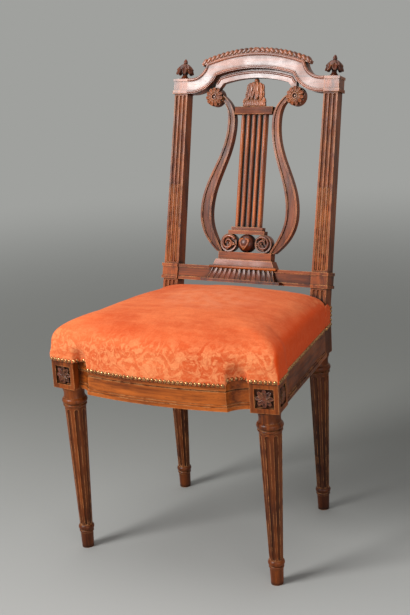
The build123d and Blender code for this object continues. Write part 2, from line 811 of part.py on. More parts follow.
lower_rail_back = -lower_rail_setback - lower_rail_thickness
lower_bead_front = band_bead_overhang - band_overhang - lower_rail_setback + joint_fit
plinth_back = -lyre_front - lyre_depth - plinth_top_proud / 2
with BuildPart() as lower_back_rail:
    rail_plane = back_face(lower_rail_back)
    bead_depth = lower_bead_front - lower_rail_back
    extrude(half_strip(rail_plane, lower_rail_bottom, lower_rail_top, stile_x), amount=lower_rail_thickness)
    extrude(half_strip(rail_plane, lower_rail_bottom, lower_rail_bottom + band_bead_height, stile_x),
            amount=bead_depth)
    extrude(half_strip(rail_plane, lower_rail_top - band_bead_height, lower_rail_top, stile_x),
            amount=bead_depth)
    split(bisect_by=lower_joint, keep=Keep.TOP)
    add_tenon(lower_joint, back_tenon_thickness, back_tenon_height, back_tenon_length)
    cut_peg(back_peg(lower_rail_up), back_peg_length)
    mirror(about=Plane.YZ)
    with BuildSketch(back_level(lower_rail_top)):
        with Locations((0, -lyre_middle)):
            Rectangle(plinth_tenon_width + 2 * joint_fit, back_tenon_thickness + 2 * joint_fit)
    extrude(amount=-plinth_tenon_height - joint_fit, mode=Mode.SUBTRACT)
lower_back_rail.part.label = "lower_back_rail"
export_step(lower_back_rail.part, "parts/lower_back_rail.step")

flare_foot = lower_rail_bottom + base_fillet_height
flare_middle = (flare_foot + lower_rail_top) / 2
flare_low_front = lower_bead_front + flare_proud_low
flare_high_front = lower_bead_front + flare_proud_high
flare_mid_half = flare_waist + (flare_half_width - flare_waist) * flare_hollow
flare_mid_front = flare_high_front + (flare_low_front - flare_high_front) * flare_hollow
flare_tools = []
for n in range(flare_flutes):
    place = (n - (flare_flutes - 1) / 2) * 2 / flare_flutes
    head = back_point(place * flare_waist, lower_rail_top - flare_flute_radius, flare_high_front)
    foot = back_point(place * flare_half_width, flare_foot + flare_flute_radius, flare_low_front)
    flare_tools.append(flute_tool(head, foot, flare_flute_radius, flare_flute_radius))
with BuildPart() as lyre_base:
    loft([level_block(flare_foot, flare_half_width, flare_low_front, lower_bead_front),
          level_block(flare_middle, flare_mid_half, flare_mid_front, lower_bead_front),
          level_block(lower_rail_top, flare_waist, flare_high_front, lower_bead_front)])
    add(flare_tools, mode=Mode.SUBTRACT)
    fillet_front = flare_low_front + base_fillet_overhang
    extrude(level_block(lower_rail_bottom, base_half_width, fillet_front, lower_bead_front),
            amount=base_fillet_height)
lyre_base.part.label = "lyre_base"
export_step(lyre_base.part, "parts/lyre_base.step")

step_top = lower_rail_top + plinth_step_height
step_front = plinth_step_proud - lyre_front
plinth_front = plinth_top_proud - lyre_front
with BuildPart() as lyre_plinth:
    loft([level_block(lower_rail_top, plinth_step_half_width, step_front, plinth_back),
          level_block(step_top, plinth_top_half_width + plinth_top_proud, plinth_front + plinth_top_proud,
                      plinth_back)], ruled=True)
    extrude(level_block(step_top, plinth_top_half_width, plinth_front, plinth_back), amount=plinth_top_height)
    with BuildSketch(back_level(lower_rail_top)):
        with Locations((0, -lyre_middle)):
            Rectangle(plinth_tenon_width, back_tenon_thickness)
    extrude(amount=-plinth_tenon_height)
lyre_plinth.part.label = "lyre_plinth"
export_step(lyre_plinth.part, "parts/lyre_plinth.step")

# Scrolls and ball on the plinth
lyre_back_plane = back_face(-lyre_front - lyre_depth)
roundel_cut = 2 * (roundel_radius - roundel_flat)
with BuildPart() as lyre_scroll_right:
    with BuildSketch(lyre_back_plane):
        with Locations((roundel_half_pitch, roundel_up)):
            Circle(roundel_radius)
            Rectangle(2 * roundel_radius, roundel_cut, mode=Mode.INTERSECT)
    extrude(amount=lyre_depth + roundel_proud)
    with BuildSketch(back_face(roundel_proud - lyre_front)):
        with Locations((roundel_half_pitch, roundel_up)):
            Circle(roundel_radius - scroll_groove_width)
            Circle(scroll_eye_radius, mode=Mode.SUBTRACT)
    extrude(amount=-scroll_groove_depth, mode=Mode.SUBTRACT)
lyre_scroll_right.part.label = "lyre_scroll_right"
export_step(lyre_scroll_right.part, "parts/lyre_scroll_right.step")

with BuildPart() as lyre_scroll_left:
    mirror(lyre_scroll_right.part, about=Plane.YZ)
lyre_scroll_left.part.label = "lyre_scroll_left"
export_step(lyre_scroll_left.part, "parts/lyre_scroll_left.step")

with BuildPart() as lyre_ball:
    ball_centre = back_point(0, roundel_up, lyre_middle)
    ball_end = roundel_radius - roundel_flat
    flat_radius = sqrt(roundel_radius**2 - ball_end**2)
    with BuildSketch(Plane(origin=ball_centre, x_dir=(1, 0, 0), z_dir=back_face().z_dir)):
        with BuildLine():
            ThreePointArc((flat_radius, -ball_end), (roundel_radius, 0), (flat_radius, ball_end))
            Polyline((flat_radius, ball_end), (0, ball_end), (0, -ball_end), (flat_radius, -ball_end))
        make_face()
    revolve(axis=Axis(ball_centre, rake_up))
lyre_ball.part.label = "lyre_ball"
export_step(lyre_ball.part, "parts/lyre_ball.step")

# String plinth, strings and yoke
string_places = [string_pitch * (n - (string_count - 1) / 2) for n in range(string_count)]
string_plinth_front = string_plinth_proud - lyre_front
yoke_front = yoke_proud - lyre_front
yoke_back = -lyre_front - lyre_depth
yoke_half_width = arm_waist_inner
string_plinth_middle = string_plinth_up + string_plinth_low_height


def string_holes(up, depth):
    """Bore the dowel holes of all strings, up or down from a level."""
    with BuildSketch(back_level(up)) as holes:
        with Locations([(place, -lyre_middle) for place in string_places]):
            Circle(string_dowel_radius + joint_fit)
    extrude(holes.sketch, amount=depth, mode=Mode.SUBTRACT)


with BuildPart() as string_plinth:
    extrude(level_block(string_plinth_up, string_plinth_low_half, string_plinth_front, yoke_back),
            amount=string_plinth_low_height)
    extrude(level_block(string_plinth_middle, string_plinth_top_half, -lyre_front, yoke_back),
            amount=string_plinth_top_height)
    string_holes(string_foot, -string_dowel_length - joint_fit)
string_plinth.part.label = "string_plinth"
export_step(string_plinth.part, "parts/string_plinth.step")

string_front = -lyre_middle - string_depth / 2
string_back = -lyre_middle + string_depth / 2
for number, place in enumerate(string_places, start=1):
    with BuildPart() as lyre_string:
        left = (place - string_width / 2, string_front + string_width / 2)
        right = (place + string_width / 2, string_front + string_width / 2)
        with BuildSketch(back_level(string_foot)):
            with BuildLine():
                ThreePointArc(left, (place, string_front), right)
                Polyline(right, (right[0], string_back), (left[0], string_back), left)
            make_face()
        extrude(amount=string_length)
        with BuildSketch(back_level(string_foot - string_dowel_length)):
            with Locations((place, -lyre_middle)):
                Circle(string_dowel_radius)
        extrude(amount=string_length + 2 * string_dowel_length)
    lyre_string.part.label = f"lyre_string_{number}"
    export_step(lyre_string.part, f"parts/lyre_string_{number}.step")

yoke_pin = Plane(origin=back_point(0, string_head + yoke_height / 2, lyre_middle), x_dir=rake_up,
                 z_dir=(1, 0, 0))
with BuildPart() as lyre_yoke:
    extrude(level_block(string_head, yoke_half_width, yoke_front, yoke_back), amount=yoke_height)
    with BuildSketch(yoke_pin):
        Circle(yoke_dowel_radius)
    extrude(amount=yoke_half_width + yoke_dowel_length, both=True)
    string_holes(string_head, string_dowel_length + joint_fit)
lyre_yoke.part.label = "lyre_yoke"
export_step(lyre_yoke.part, "parts/lyre_yoke.step")

# Lyre arms
arm_waist_up = yoke_top - arm_waist_drop
arm_belly_up = plinth_top + arm_belly_rise


def arm_outline(plane, rim):
    """Outline of the right arm, drawn in by rim on both edges."""
    outer_foot = (arm_foot_outer - rim, plinth_top)
    inner_foot = (arm_foot_inner + rim, plinth_top)
    outer_belly = (arm_belly_outer - rim, arm_belly_up)
    inner_belly = (arm_belly_inner + rim, arm_belly_up)
    outer_waist = (arm_waist_outer - rim, arm_waist_up)
    inner_waist = (arm_waist_inner + rim, arm_waist_up)
    outer_head = (rosette_half_pitch - rosette_radius / 2, rosette_height - arm_head_drop - rim / 2)
    inner_head = (rosette_half_pitch - rosette_radius / 2, rosette_height + rosette_radius / 2 - rim / 2)
    with BuildSketch(plane) as outline:
        with BuildLine():
            Spline(outer_foot, outer_belly, outer_waist, outer_head,
                   tangents=[(1, arm_foot_slope), (0, 1), (0, 1), (1, arm_head_slope)])
            Line(outer_head, inner_head)
            Spline(inner_foot, inner_belly, inner_waist, inner_head,
                   tangents=[(1, arm_inner_foot_slope), (0, 1), (0, 1), (1, arm_inner_head_slope)])
            Line(inner_foot, outer_foot)
        make_face()
    return outline.sketch


with BuildPart() as lyre_arm_right:
    extrude(arm_outline(lyre_back_plane, 0), amount=lyre_depth)
    extrude(arm_outline(back_face(-lyre_front), arm_rim), amount=-arm_hollow, mode=Mode.SUBTRACT)
    with BuildSketch(lyre_back_plane):
        with Locations(rosette_place):
            Circle(rosette_radius)
    extrude(amount=lyre_depth)
    with BuildSketch(lyre_back_plane):
        with Locations((roundel_half_pitch, roundel_up)):
            Circle(roundel_radius + joint_fit)
    extrude(amount=lyre_depth, mode=Mode.SUBTRACT)
    with BuildSketch(yoke_pin):
        Circle(yoke_dowel_radius + joint_fit)
    extrude(amount=yoke_half_width + yoke_dowel_length + joint_fit, mode=Mode.SUBTRACT)
    with BuildSketch(back_face(-lyre_front)):
        with Locations(rosette_place):
            Circle(rosette_dowel_radius + joint_fit)
    extrude(amount=-rosette_dowel_length - joint_fit, mode=Mode.SUBTRACT)
lyre_arm_right.part.label = "lyre_arm_right"
export_step(lyre_arm_right.part, "parts/lyre_arm_right.step")

with BuildPart() as lyre_arm_left:
    mirror(lyre_arm_right.part, about=Plane.YZ)
lyre_arm_left.part.label = "lyre_arm_left"
export_step(lyre_arm_left.part, "parts/lyre_arm_left.step")

# Rosettes on the ends of the arms
with BuildPart() as lyre_rosette_right:
    rosette_face = back_face(-lyre_front)
    petal_ring = rosette_radius - rosette_petal_radius
    with BuildSketch(rosette_face):
        with Locations(rosette_place):
            Circle(petal_ring)
    extrude(amount=rosette_base)
    with BuildSketch(rosette_face):
        with Locations(rosette_place):
            with PolarLocations(petal_ring, rosette_petals):
                Circle(rosette_petal_radius)
            Circle(rosette_petal_radius, mode=Mode.ADD)
    extrude(amount=rosette_base + rosette_petal_rise)
    with BuildSketch(rosette_face):
        with Locations(rosette_place):
            Circle(rosette_dowel_radius)
    extrude(amount=-rosette_dowel_length)
lyre_rosette_right.part.label = "lyre_rosette_right"
export_step(lyre_rosette_right.part, "parts/lyre_rosette_right.step")

with BuildPart() as lyre_rosette_left:
    mirror(lyre_rosette_right.part, about=Plane.YZ)
lyre_rosette_left.part.label = "lyre_rosette_left"
export_step(lyre_rosette_left.part, "parts/lyre_rosette_left.step")

# Leaf crown between the yoke and the inner arch
crown_ball_up = arch_top - inner_arch_drop - crown_ball_radius - joint_fit


def crown_section(up, half_width, depth):
    """Oval slice of the leaf crown."""
    with BuildSketch(back_level(up)) as oval:
        with Locations((0, -lyre_middle)):
            Ellipse(half_width, depth / 2)
    return oval.sketch


with BuildPart() as lyre_crown:
    loft([crown_section(yoke_top, crown_base_half, crown_depth),
          crown_section(yoke_top + crown_waist_rise, crown_waist_half, crown_depth),
          crown_section(yoke_top + crown_belly_rise, crown_belly_half, crown_depth),
          crown_section(crown_ball_up, crown_neck_half / 2, crown_neck_half)])
    with Locations(Plane(origin=back_point(0, crown_ball_up, lyre_middle)).location):
        Sphere(crown_ball_radius)
lyre_crown.part.label = "lyre_crown"
export_step(lyre_crown.part, "parts/lyre_crown.step")

# Pegs that lock the joints
with BuildPart() as joint_pegs:
    for face, length in ((front_peg, front_peg_length), (side_peg, side_peg_length),
                         (side_rear_peg, side_peg_length), (rear_peg, rear_peg_length),
                         (back_peg(lower_rail_up), back_peg_length), (back_peg(crest_up), back_peg_length)):
        with BuildSketch(face):
            Circle(peg_radius)
        extrude(amount=-length)
    mirror(about=Plane.YZ)
joint_pegs.part.label = "joint_pegs"
export_step(joint_pegs.part, "parts/joint_pegs.step")


# Corner blocks inside the seat frame


def side_inner(y):
    """Point on the inner face of the right side rail at a depth y."""
    along = (y - front_y) / cos(splay)
    inner = side_outer - side_rail_thickness
    along = along - inner * sin(splay) / cos(splay)
    return front_head.from_local_coords(Vector(inner, along, 0))


def corner_block(rail_y, rail_x, side_y, inward):
    """Slanted block from a cross rail's face at rail_x to the side rail at side_y."""
    side_near = side_inner(side_y)
    side_far = side_inner(side_y + inward * corner_block_width)
    with BuildSketch(Plane.XY.offset(rail_top - corner_block_drop - corner_block_height)) as plan:
        with BuildLine():
            Polyline((rail_x, rail_y), (side_near.X, side_near.Y), (side_far.X, side_far.Y),
                     (rail_x - corner_block_width, rail_y), (rail_x, rail_y))
        make_face()
    return plan.sketch


front_corner = front_head.from_local_coords(Vector(-half_front, half_front, 0))
front_rail_face = front_y + front_rail_back
rear_rail_face = rear_rail_y - rear_rail_thickness / 2
with BuildPart() as corner_block_front_right:
    extrude(corner_block(front_rail_face, front_corner.X - corner_block_leg,
                         front_corner.Y + corner_block_leg, 1), amount=corner_block_height)
corner_block_front_right.part.label = "corner_block_front_right"
export_step(corner_block_front_right.part, "parts/corner_block_front_right.step")

with BuildPart() as corner_block_front_left:
    mirror(corner_block_front_right.part, about=Plane.YZ)
corner_block_front_left.part.label = "corner_block_front_left"
export_step(corner_block_front_left.part, "parts/corner_block_front_left.step")

with BuildPart() as corner_block_rear_right:
    extrude(corner_block(rear_rail_face, rear_rail_end - corner_block_leg,
                         rear_y - half_rear - corner_block_leg, -1), amount=corner_block_height)
corner_block_rear_right.part.label = "corner_block_rear_right"
export_step(corner_block_rear_right.part, "parts/corner_block_rear_right.step")

with BuildPart() as corner_block_rear_left:
    mirror(corner_block_rear_right.part, about=Plane.YZ)
corner_block_rear_left.part.label = "corner_block_rear_left"
export_step(corner_block_rear_left.part, "parts/corner_block_rear_left.step")

# Webbing across the top of the seat frame
webbing_front = front_rail_face - webbing_grip
webbing_rear = rear_rail_face + webbing_grip
webbing_middle = (webbing_front + webbing_rear) / 2
with BuildPart() as webbing_lengthwise:
    with BuildSketch(Plane.XY.offset(rail_top)):
        with Locations((0, webbing_middle)):
            with GridLocations(webbing_pitch, 1, webbing_length_count, 1):
                Rectangle(webbing_width, webbing_rear - webbing_front)
    extrude(amount=webbing_thickness)
webbing_lengthwise.part.label = "webbing_lengthwise"
export_step(webbing_lengthwise.part, "parts/webbing_lengthwise.step")

with BuildPart() as webbing_crosswise:
    for n in range(webbing_cross_count):
        place = webbing_middle + webbing_pitch * (n - (webbing_cross_count - 1) / 2)
        half_span = side_inner(place).X + webbing_grip
        with BuildSketch(Plane.XY.offset(rail_top + webbing_thickness)):
            with Locations((0, place)):
                Rectangle(2 * half_span, webbing_width)
        extrude(amount=webbing_thickness)
webbing_crosswise.part.label = "webbing_crosswise"
export_step(webbing_crosswise.part, "parts/webbing_crosswise.step")

# Seat outline, from the wooden faces that the cover is fixed to
rear_edge = rear_rail_y + rear_rail_thickness / 2
seat_centre_y = front_y + seat_centre_depth


def seat_corners(notch):
    """Corners of the right half of the seat, with the returns beside the bow as deep as notch says."""
    bow_end = Vector(bow_half_width, bow_end_y, 0)
    block_inner = front_head.from_local_coords(Vector(-half_front, -half_front, 0))
    flush = (bow_end + block_inner) / 2
    recess = flush + (Vector(return_half_width, front_y - return_reach, 0) - flush) * notch
    block_outer = front_head.from_local_coords(Vector(half_front, -half_front, 0))
    block_rear = front_head.from_local_coords(Vector(half_front, half_front, 0))
    rail_front = front_head.from_local_coords(Vector(side_outer, half_front, 0))
    along = (rear_edge - front_y - side_outer * sin(splay)) / cos(splay)
    rail_rear = front_head.from_local_coords(Vector(side_outer, along, 0))
    return [bow_end, recess, block_inner, block_outer, block_rear, rail_front, rail_rear]


def grown_corners(corners, grow):
    """Corners of the right half moved out by grow from both of their edges."""
    bow_way = Vector(sqrt(bow_radius**2 - bow_half_width**2), bow_half_width, 0)
    path = [corners[0] - bow_way] + corners + [corners[-1] - Vector(stile_x, 0, 0)]
    grown = []
    for before, corner, after in zip(path, path[1:], path[2:]):
        way_in = (corner - before).normalized()
        way_out = (after - corner).normalized()
        out = Vector(way_in.Y + way_out.Y, -way_in.X - way_out.X, 0)
        place = corner + out * (grow / (1 + way_in.dot(way_out)))
        grown.append((place.X, place.Y))
    return grown


def seat_section(z, notch, grow, shrink):
    """Level slice of the seat, grown from the wood by a thickness and drawn in to its centre."""
    right = grown_corners(seat_corners(notch), grow)
    left = [(-x, y) for x, y in reversed(right)]
    with BuildSketch(Plane.XY, mode=Mode.PRIVATE) as outline:
        with BuildLine():
            ThreePointArc(left[-1], (0, front_y - bow_reach - grow), right[0])
            bulge(right[0], right[1], -return_hollow * notch)
            Polyline(*right[1:], *left[:-1])
            bulge(left[-2], left[-1], -return_hollow * notch)
        make_face()
    with BuildSketch(Plane(origin=(0, seat_centre_y * (1 - shrink), z))) as section:
        add(scale(outline.sketch, by=shrink, mode=Mode.PRIVATE))
    return section.sketch


def crown_shrink(rise):
    """How far a slice is drawn in, at a share of the crown's height."""
    return (1 + seat_swell * sin(pi * rise)) * (1 - rise**seat_squareness) ** 0.5


def seat_body(skirt, grow, sink):
    """Slices of the crowned seat, with straight sides from the skirt to the stuffing's floor."""
    height = rail_top + seat_crown - sink - stuffing_floor
    sections = [seat_section(skirt, 1, grow, 1)]
    for level in seat_levels:
        notch = max(1 - return_fade * level, return_least)
        sections.append(seat_section(stuffing_floor + height * level, notch, grow, crown_shrink(level)))
    return sections


def cut_post_room(gap):
    """Leave room for the right rear post, with a gap all round, then mirror it."""
    room = rear_block + rear_rail_setback + cover_thickness + gap
    with BuildSketch(Plane.XY.offset(rail_bottom)) as foot_room:
        with Locations((rear_x - half_rear - gap + room, rear_y - half_rear - gap + room)):
            Rectangle(2 * room, 2 * room)
    low = extrude(foot_room.sketch, amount=rail_top + gap - rail_bottom, mode=Mode.SUBTRACT)
    with BuildSketch(back_level(-stile_root)) as stile_room:
        with Locations((stile_x - stile_half(0) - gap + room, room - gap)):
            Rectangle(2 * room, 2 * room)
    high = extrude(stile_room.sketch, amount=stile_root + 2 * seat_crown, mode=Mode.SUBTRACT)
    mirror([low, high], about=Plane.YZ, mode=Mode.SUBTRACT)


base_cloth_floor = rail_top + 2 * webbing_thickness
stuffing_floor = base_cloth_floor + base_cloth_thickness
skirt_bottom = rail_top - cover_skirt
bow_skirt_bottom = skirt_bottom - bow_skirt_drop
cover_outside = cloth_gap + cover_thickness
with BuildPart() as base_cloth:
    extrude(seat_section(base_cloth_floor, 1, -base_cloth_inset, 1), amount=base_cloth_thickness)
    cut_post_room(post_notch + cloth_gap)
base_cloth.part.label = "base_cloth"
export_step(base_cloth.part, "parts/base_cloth.step")

with BuildPart() as seat_stuffing:
    loft(seat_body(stuffing_floor, -stuffing_gap, cover_thickness + stuffing_gap)[1:], ruled=True)
    cut_post_room(post_notch + cloth_gap)
seat_stuffing.part.label = "seat_stuffing"
export_step(seat_stuffing.part, "parts/seat_stuffing.step")

with BuildPart() as seat_cover:
    loft(seat_body(bow_skirt_bottom, cover_outside, 0), ruled=True)
    hollow = seat_body(bow_skirt_bottom - cover_skirt, cloth_gap, cover_thickness)
    loft(hollow, ruled=True, mode=Mode.SUBTRACT)
    with BuildSketch(Plane.XY.offset(skirt_bottom)):
        with Locations((0, bow_end_y + leg_depth_spacing)):
            Rectangle(2 * front_leg_spacing, 2 * leg_depth_spacing)
    extrude(amount=-bow_skirt_drop - cover_skirt, mode=Mode.SUBTRACT)
    cut_post_room(post_notch)
seat_cover.part.label = "seat_cover"
export_step(seat_cover.part, "parts/seat_cover.step")

# Brass nails along the lower edge of the cover
nail_z = skirt_bottom + nail_rise
bow_nail_z = bow_skirt_bottom + nail_rise
nail_stand = cover_outside + nail_gap
with BuildPart() as nail:
    dome_radius = (nail_head_radius**2 + nail_head_height**2) / (2 * nail_head_height)
    with BuildSketch(Plane.XZ):
        with BuildLine():
            arc_about((0, nail_head_height - dome_radius), (nail_head_radius, 0), (0, nail_head_height))
            Polyline((0, nail_head_height), (0, -nail_shank_length), (nail_shank_radius, -nail_shank_length),
                     (nail_shank_radius, 0), (nail_head_radius, 0))
        make_face()
    revolve(axis=Axis.Z)


def nail_planes(run, z, start_room, end_room):
    """Planes for evenly spaced nails at a height along a run of the seat's outline, facing outwards."""
    room = run.length - start_room - end_room
    count = max(1, round(room / nail_pitch))
    planes = []
    for n in range(count):
        share = (start_room + room * (n + 0.5) / count) / run.length
        ahead = run.tangent_at(share)
        out = Vector(ahead.Y, -ahead.X, 0)
        place = run.position_at(share) + out * nail_stand
        planes.append(Plane(origin=(place.X, place.Y, z), x_dir=(0, 0, 1), z_dir=out))
    return planes


bow_end, recess, block_inner, block_outer, block_rear, rail_front = grown_corners(seat_corners(1), 0)[:-1]
post_front = front_head.from_local_coords(Vector(side_outer, side_run - nail_corner_room, 0))
with BuildLine() as nail_line:
    bow_run = arc_about((0, front_y - bow_reach + bow_radius), (0, front_y - bow_reach), bow_end)
    hollow_run = bulge(bow_end, recess, -return_hollow)
    return_run = Line(recess, block_inner)
    block_run = Line(block_inner, block_outer)
    block_side_run = Line(block_outer, block_rear)
    rail_run = Line(rail_front, (post_front.X, post_front.Y))
nail_places = nail_planes(bow_run, bow_nail_z, 0, 0)
nail_places += nail_planes(hollow_run, nail_z, 0, nail_corner_room)
nail_places += nail_planes(return_run, nail_z, nail_corner_room, 0)
nail_places += nail_planes(block_run, nail_z, 0, 0)
nail_places += nail_planes(block_side_run, nail_z, 0, 0)
nail_places += nail_planes(rail_run, nail_z, nail_corner_room, 0)
with BuildPart() as brass_nails:
    with Locations(*[place.location for place in nail_places]):
        add(nail.part)
    mirror(about=Plane.YZ)
brass_nails.part.label = "brass_nails"
export_step(brass_nails.part, "parts/brass_nails.step")
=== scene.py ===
import json
from math import asin, atan2, cos, pi, radians, sin, sqrt, tan

import bmesh
import bpy
from mathutils import Matrix, Vector, noise
from mathutils.kdtree import KDTree


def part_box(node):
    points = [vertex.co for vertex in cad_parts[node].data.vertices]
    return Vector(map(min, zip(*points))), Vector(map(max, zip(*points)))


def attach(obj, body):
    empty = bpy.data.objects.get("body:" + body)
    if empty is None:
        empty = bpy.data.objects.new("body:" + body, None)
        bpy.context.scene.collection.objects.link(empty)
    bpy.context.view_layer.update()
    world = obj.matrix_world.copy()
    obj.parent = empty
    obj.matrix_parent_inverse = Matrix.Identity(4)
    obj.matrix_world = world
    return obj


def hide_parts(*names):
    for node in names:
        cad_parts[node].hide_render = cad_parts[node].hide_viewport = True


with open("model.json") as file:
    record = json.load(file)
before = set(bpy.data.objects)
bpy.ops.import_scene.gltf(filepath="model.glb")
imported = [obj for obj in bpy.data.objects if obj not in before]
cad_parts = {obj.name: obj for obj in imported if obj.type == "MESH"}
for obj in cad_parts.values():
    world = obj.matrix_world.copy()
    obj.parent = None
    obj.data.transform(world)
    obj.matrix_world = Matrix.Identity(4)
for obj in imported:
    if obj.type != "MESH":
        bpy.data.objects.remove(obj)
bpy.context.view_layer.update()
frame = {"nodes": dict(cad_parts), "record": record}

nodes = frame["nodes"]
feet = {mount["name"]: Vector(mount["pos_m"]) for mount in frame["record"]["mounts"]}

# Sizes of the chair, in metres, as the solids have them
RAKE = radians(14.3)
RAIL_TOP = 0.396
FRONT_X, FRONT_Y = feet["front_right_foot"].xy
REAR_X, REAR_Y = feet["rear_right_foot"].xy
SPLAY = atan2(FRONT_X - REAR_X, REAR_Y - FRONT_Y)
STILE_DEPTH = 0.030
BACK_Y = REAR_Y - STILE_DEPTH / 2
FRONT_BLOCK = 0.052
REAR_BLOCK = 0.041
PANEL_UP = 0.3585
LEG_TOP = 0.325
PANEL_DEPTH = 0.0045

# Seat
BOW_REACH = 0.052
BOW_HALF = 0.141
BOW_SWEEP = 0.012
RETURN_HALF = 0.170
RETURN_REACH = 0.013
RETURN_HOLLOW = 0.005
SIDE_SETBACK = 0.005
REAR_SETBACK = 0.0045
REAR_EDGE = REAR_Y + REAR_BLOCK / 2 - REAR_SETBACK
SKIRT_BOTTOM = 0.385
BOW_SKIRT_DROP = 0.009
SEAT_FLOOR = 0.4004
SEAT_TOP = 0.473
SEAT_CENTRE_BACK = 0.160
SEAT_CENTRE_Y = FRONT_Y + SEAT_CENTRE_BACK
CLOTH_GAP = 0.0003
COVER_THICKNESS = 0.002
POST_GAP = 0.0012
STILE_START = 0.001

# Back, measured up the rake from the seat
ARCH_TOP = 0.5286
ARCH_RADIUS = 0.307
CREST_TOP = 0.4795
CREST_BAND = 0.030
CREST_FOOT = RAIL_TOP + (CREST_TOP - CREST_BAND) * cos(RAKE)
ROPE_HALF = 0.118
ROPE_HEIGHT = 0.0124
STILE_INNER = 0.1486
STILE_TOP_DEPTH = 0.0241
LYRE_FRONT = -0.0065
LYRE_DEPTH = 0.015
ROSETTE_X, ROSETTE_UP = 0.089, 0.443
ROUNDEL_X, ROUNDEL_UP, ROUNDEL_RADIUS = 0.0384, 0.1492, 0.0188
YOKE_TOP = 0.4229
CROWN_HEIGHT = 0.0577


def linear(red, green, blue):
    """Colour given as 8-bit sRGB, as the linear value that a socket takes."""
    channels = []
    for value in (red / 255, green / 255, blue / 255):
        channels.append(value / 12.92 if value <= 0.04045 else ((value + 0.055) / 1.055) ** 2.4)
    return (*channels, 1.0)


def blend(first, second, share):
    """Colour between two colours, or past the first for a share below zero."""
    return tuple(max(a + (b - a) * share, 0.0) for a, b in zip(first, second))


# Colours of the finishes, of the painted shade and highlights on them, and of the studio
STAIN_DARK, STAIN_LIGHT = linear(52, 20, 7), linear(142, 66, 24)
WARM_DARK, WARM_LIGHT = linear(108, 46, 11), linear(210, 110, 38)
OPEN_PORE = linear(38, 21, 15)
# Brown of the painted shade in hollows and low on the legs, with some soiling in the hollows
SHADE_AND_DIRT_BROWN = linear(20, 11, 8)
# Light of the edges: worn wood with a painted highlight
WORN_HIGHLIT_EDGE = linear(222, 150, 92)
# The last beech colour is painted shade in hollows, with some soiling
BEECH_DARK, BEECH_LIGHT, BEECH_SHADE_AND_DIRT = linear(150, 106, 66), linear(196, 152, 104), linear(70, 46, 30)
NAP_DEEP, NAP_BRIGHT = linear(212, 84, 36), linear(236, 118, 66)
NAP_FIGURE, NAP_FLECK = linear(255, 166, 108), linear(176, 58, 22)
# The middle colour here is painted shade: the deeper red of the velvet's right side
NAP_WORN, NAP_SHADE_SIDE, NAP_SHEEN = linear(238, 152, 112), linear(255, 78, 2), linear(255, 190, 150)
# The last brass colour is painted shade in hollows, with some tarnish
BRASS_BRIGHT, BRASS_TARNISH, BRASS_SHADE_AND_TARNISH = linear(214, 158, 104), linear(132, 88, 52), linear(44, 26, 14)
JUTE_DARK, JUTE_LIGHT = linear(150, 120, 84), linear(182, 152, 112)
HESSIAN_DARK, HESSIAN_LIGHT = linear(160, 134, 98), linear(190, 164, 124)
THREAD_GAP = linear(84, 66, 46)
BACKDROP = linear(160, 161, 158)
# Floor colours hold painted shade: darker to the left and to the back
FLOOR_LEFT, FLOOR_RIGHT, FLOOR_BACK = linear(162, 162, 159), linear(184, 184, 181), linear(130, 131, 127)
SKY = linear(190, 190, 190)


# Modelling helpers


def clear_selection():
    """Leave edit mode and deselect everything."""
    if bpy.context.object and bpy.context.object.mode != "OBJECT":
        bpy.ops.object.mode_set(mode="OBJECT")
    bpy.ops.object.select_all(action="DESELECT")


def make_active(piece):
    """Select one piece alone and make it the active one."""
    clear_selection()
    piece.select_set(True)
    bpy.context.view_layer.objects.active = piece


def primitive(name, add, **options):
    """Add a primitive as the start of a piece, with its place in its mesh."""
    clear_selection()
    add(**options)
    piece = bpy.context.object
    piece.name = name
    piece.data.name = name
    bpy.ops.object.transform_apply(location=True, rotation=True, scale=True)
    return piece


def apply_modifiers(piece):
    """Apply every modifier of a piece, in order."""
    make_active(piece)
    for modifier in list(piece.modifiers):
        bpy.ops.object.modifier_apply(modifier=modifier.name)


def set_place(piece, matrix):
    """Move a piece by a matrix and leave the place in its mesh."""
    piece.matrix_world = matrix
    make_active(piece)
    bpy.ops.object.transform_apply(location=True, rotation=True, scale=True)


def recalculate(piece):
    """Merge doubles and turn the faces outwards."""
    make_active(piece)
    bpy.ops.object.mode_set(mode="EDIT")
    bpy.ops.mesh.select_all(action="SELECT")
    bpy.ops.mesh.remove_doubles(threshold=1e-6)
    bpy.ops.mesh.normals_make_consistent(inside=False)
    bpy.ops.object.mode_set(mode="OBJECT")


def stamp(unit, matrix, name=None):
    """A copy of a modelled unit, with its own mesh, at a place."""
    copy = unit.copy()
    copy.data = unit.data.copy()
    if name:
        copy.name = copy.data.name = name
    bpy.context.scene.collection.objects.link(copy)
    set_place(copy, matrix)
    if matrix.determinant() < 0:
        recalculate(copy)
    return copy


def join(name, pieces):
    """Join several meshes into one piece."""
    clear_selection()
    for piece in pieces:
        piece.select_set(True)
    bpy.context.view_layer.objects.active = pieces[0]
    if len(pieces) > 1:
        bpy.ops.object.join()
    joined = bpy.context.object
    joined.name = name
    joined.data.name = name
    return joined


def discard(*units):
    """Remove units that were only there to be copied."""
    for unit in units:
        bpy.data.objects.remove(unit, do_unlink=True)


def smooth_shading(piece, angle=40):
    """Smooth shading with sharp edges kept."""
    make_active(piece)
    bpy.ops.object.shade_smooth_by_angle(angle=radians(angle))


def finish_piece(piece, material, replaced=()):
    """Give a piece its material and slot, and fix it to the chair."""
    piece.data.materials.clear()
    piece.data.materials.append(material)
    if replaced:
        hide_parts(*replaced)
    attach(piece, "root")


def piece_from(build, name):
    """Piece with the mesh of a bmesh, which is then freed."""
    mesh = bpy.data.meshes.new(name)
    build.to_mesh(mesh)
    build.free()
    piece = bpy.data.objects.new(name, mesh)
    bpy.context.scene.collection.objects.link(piece)
    return piece


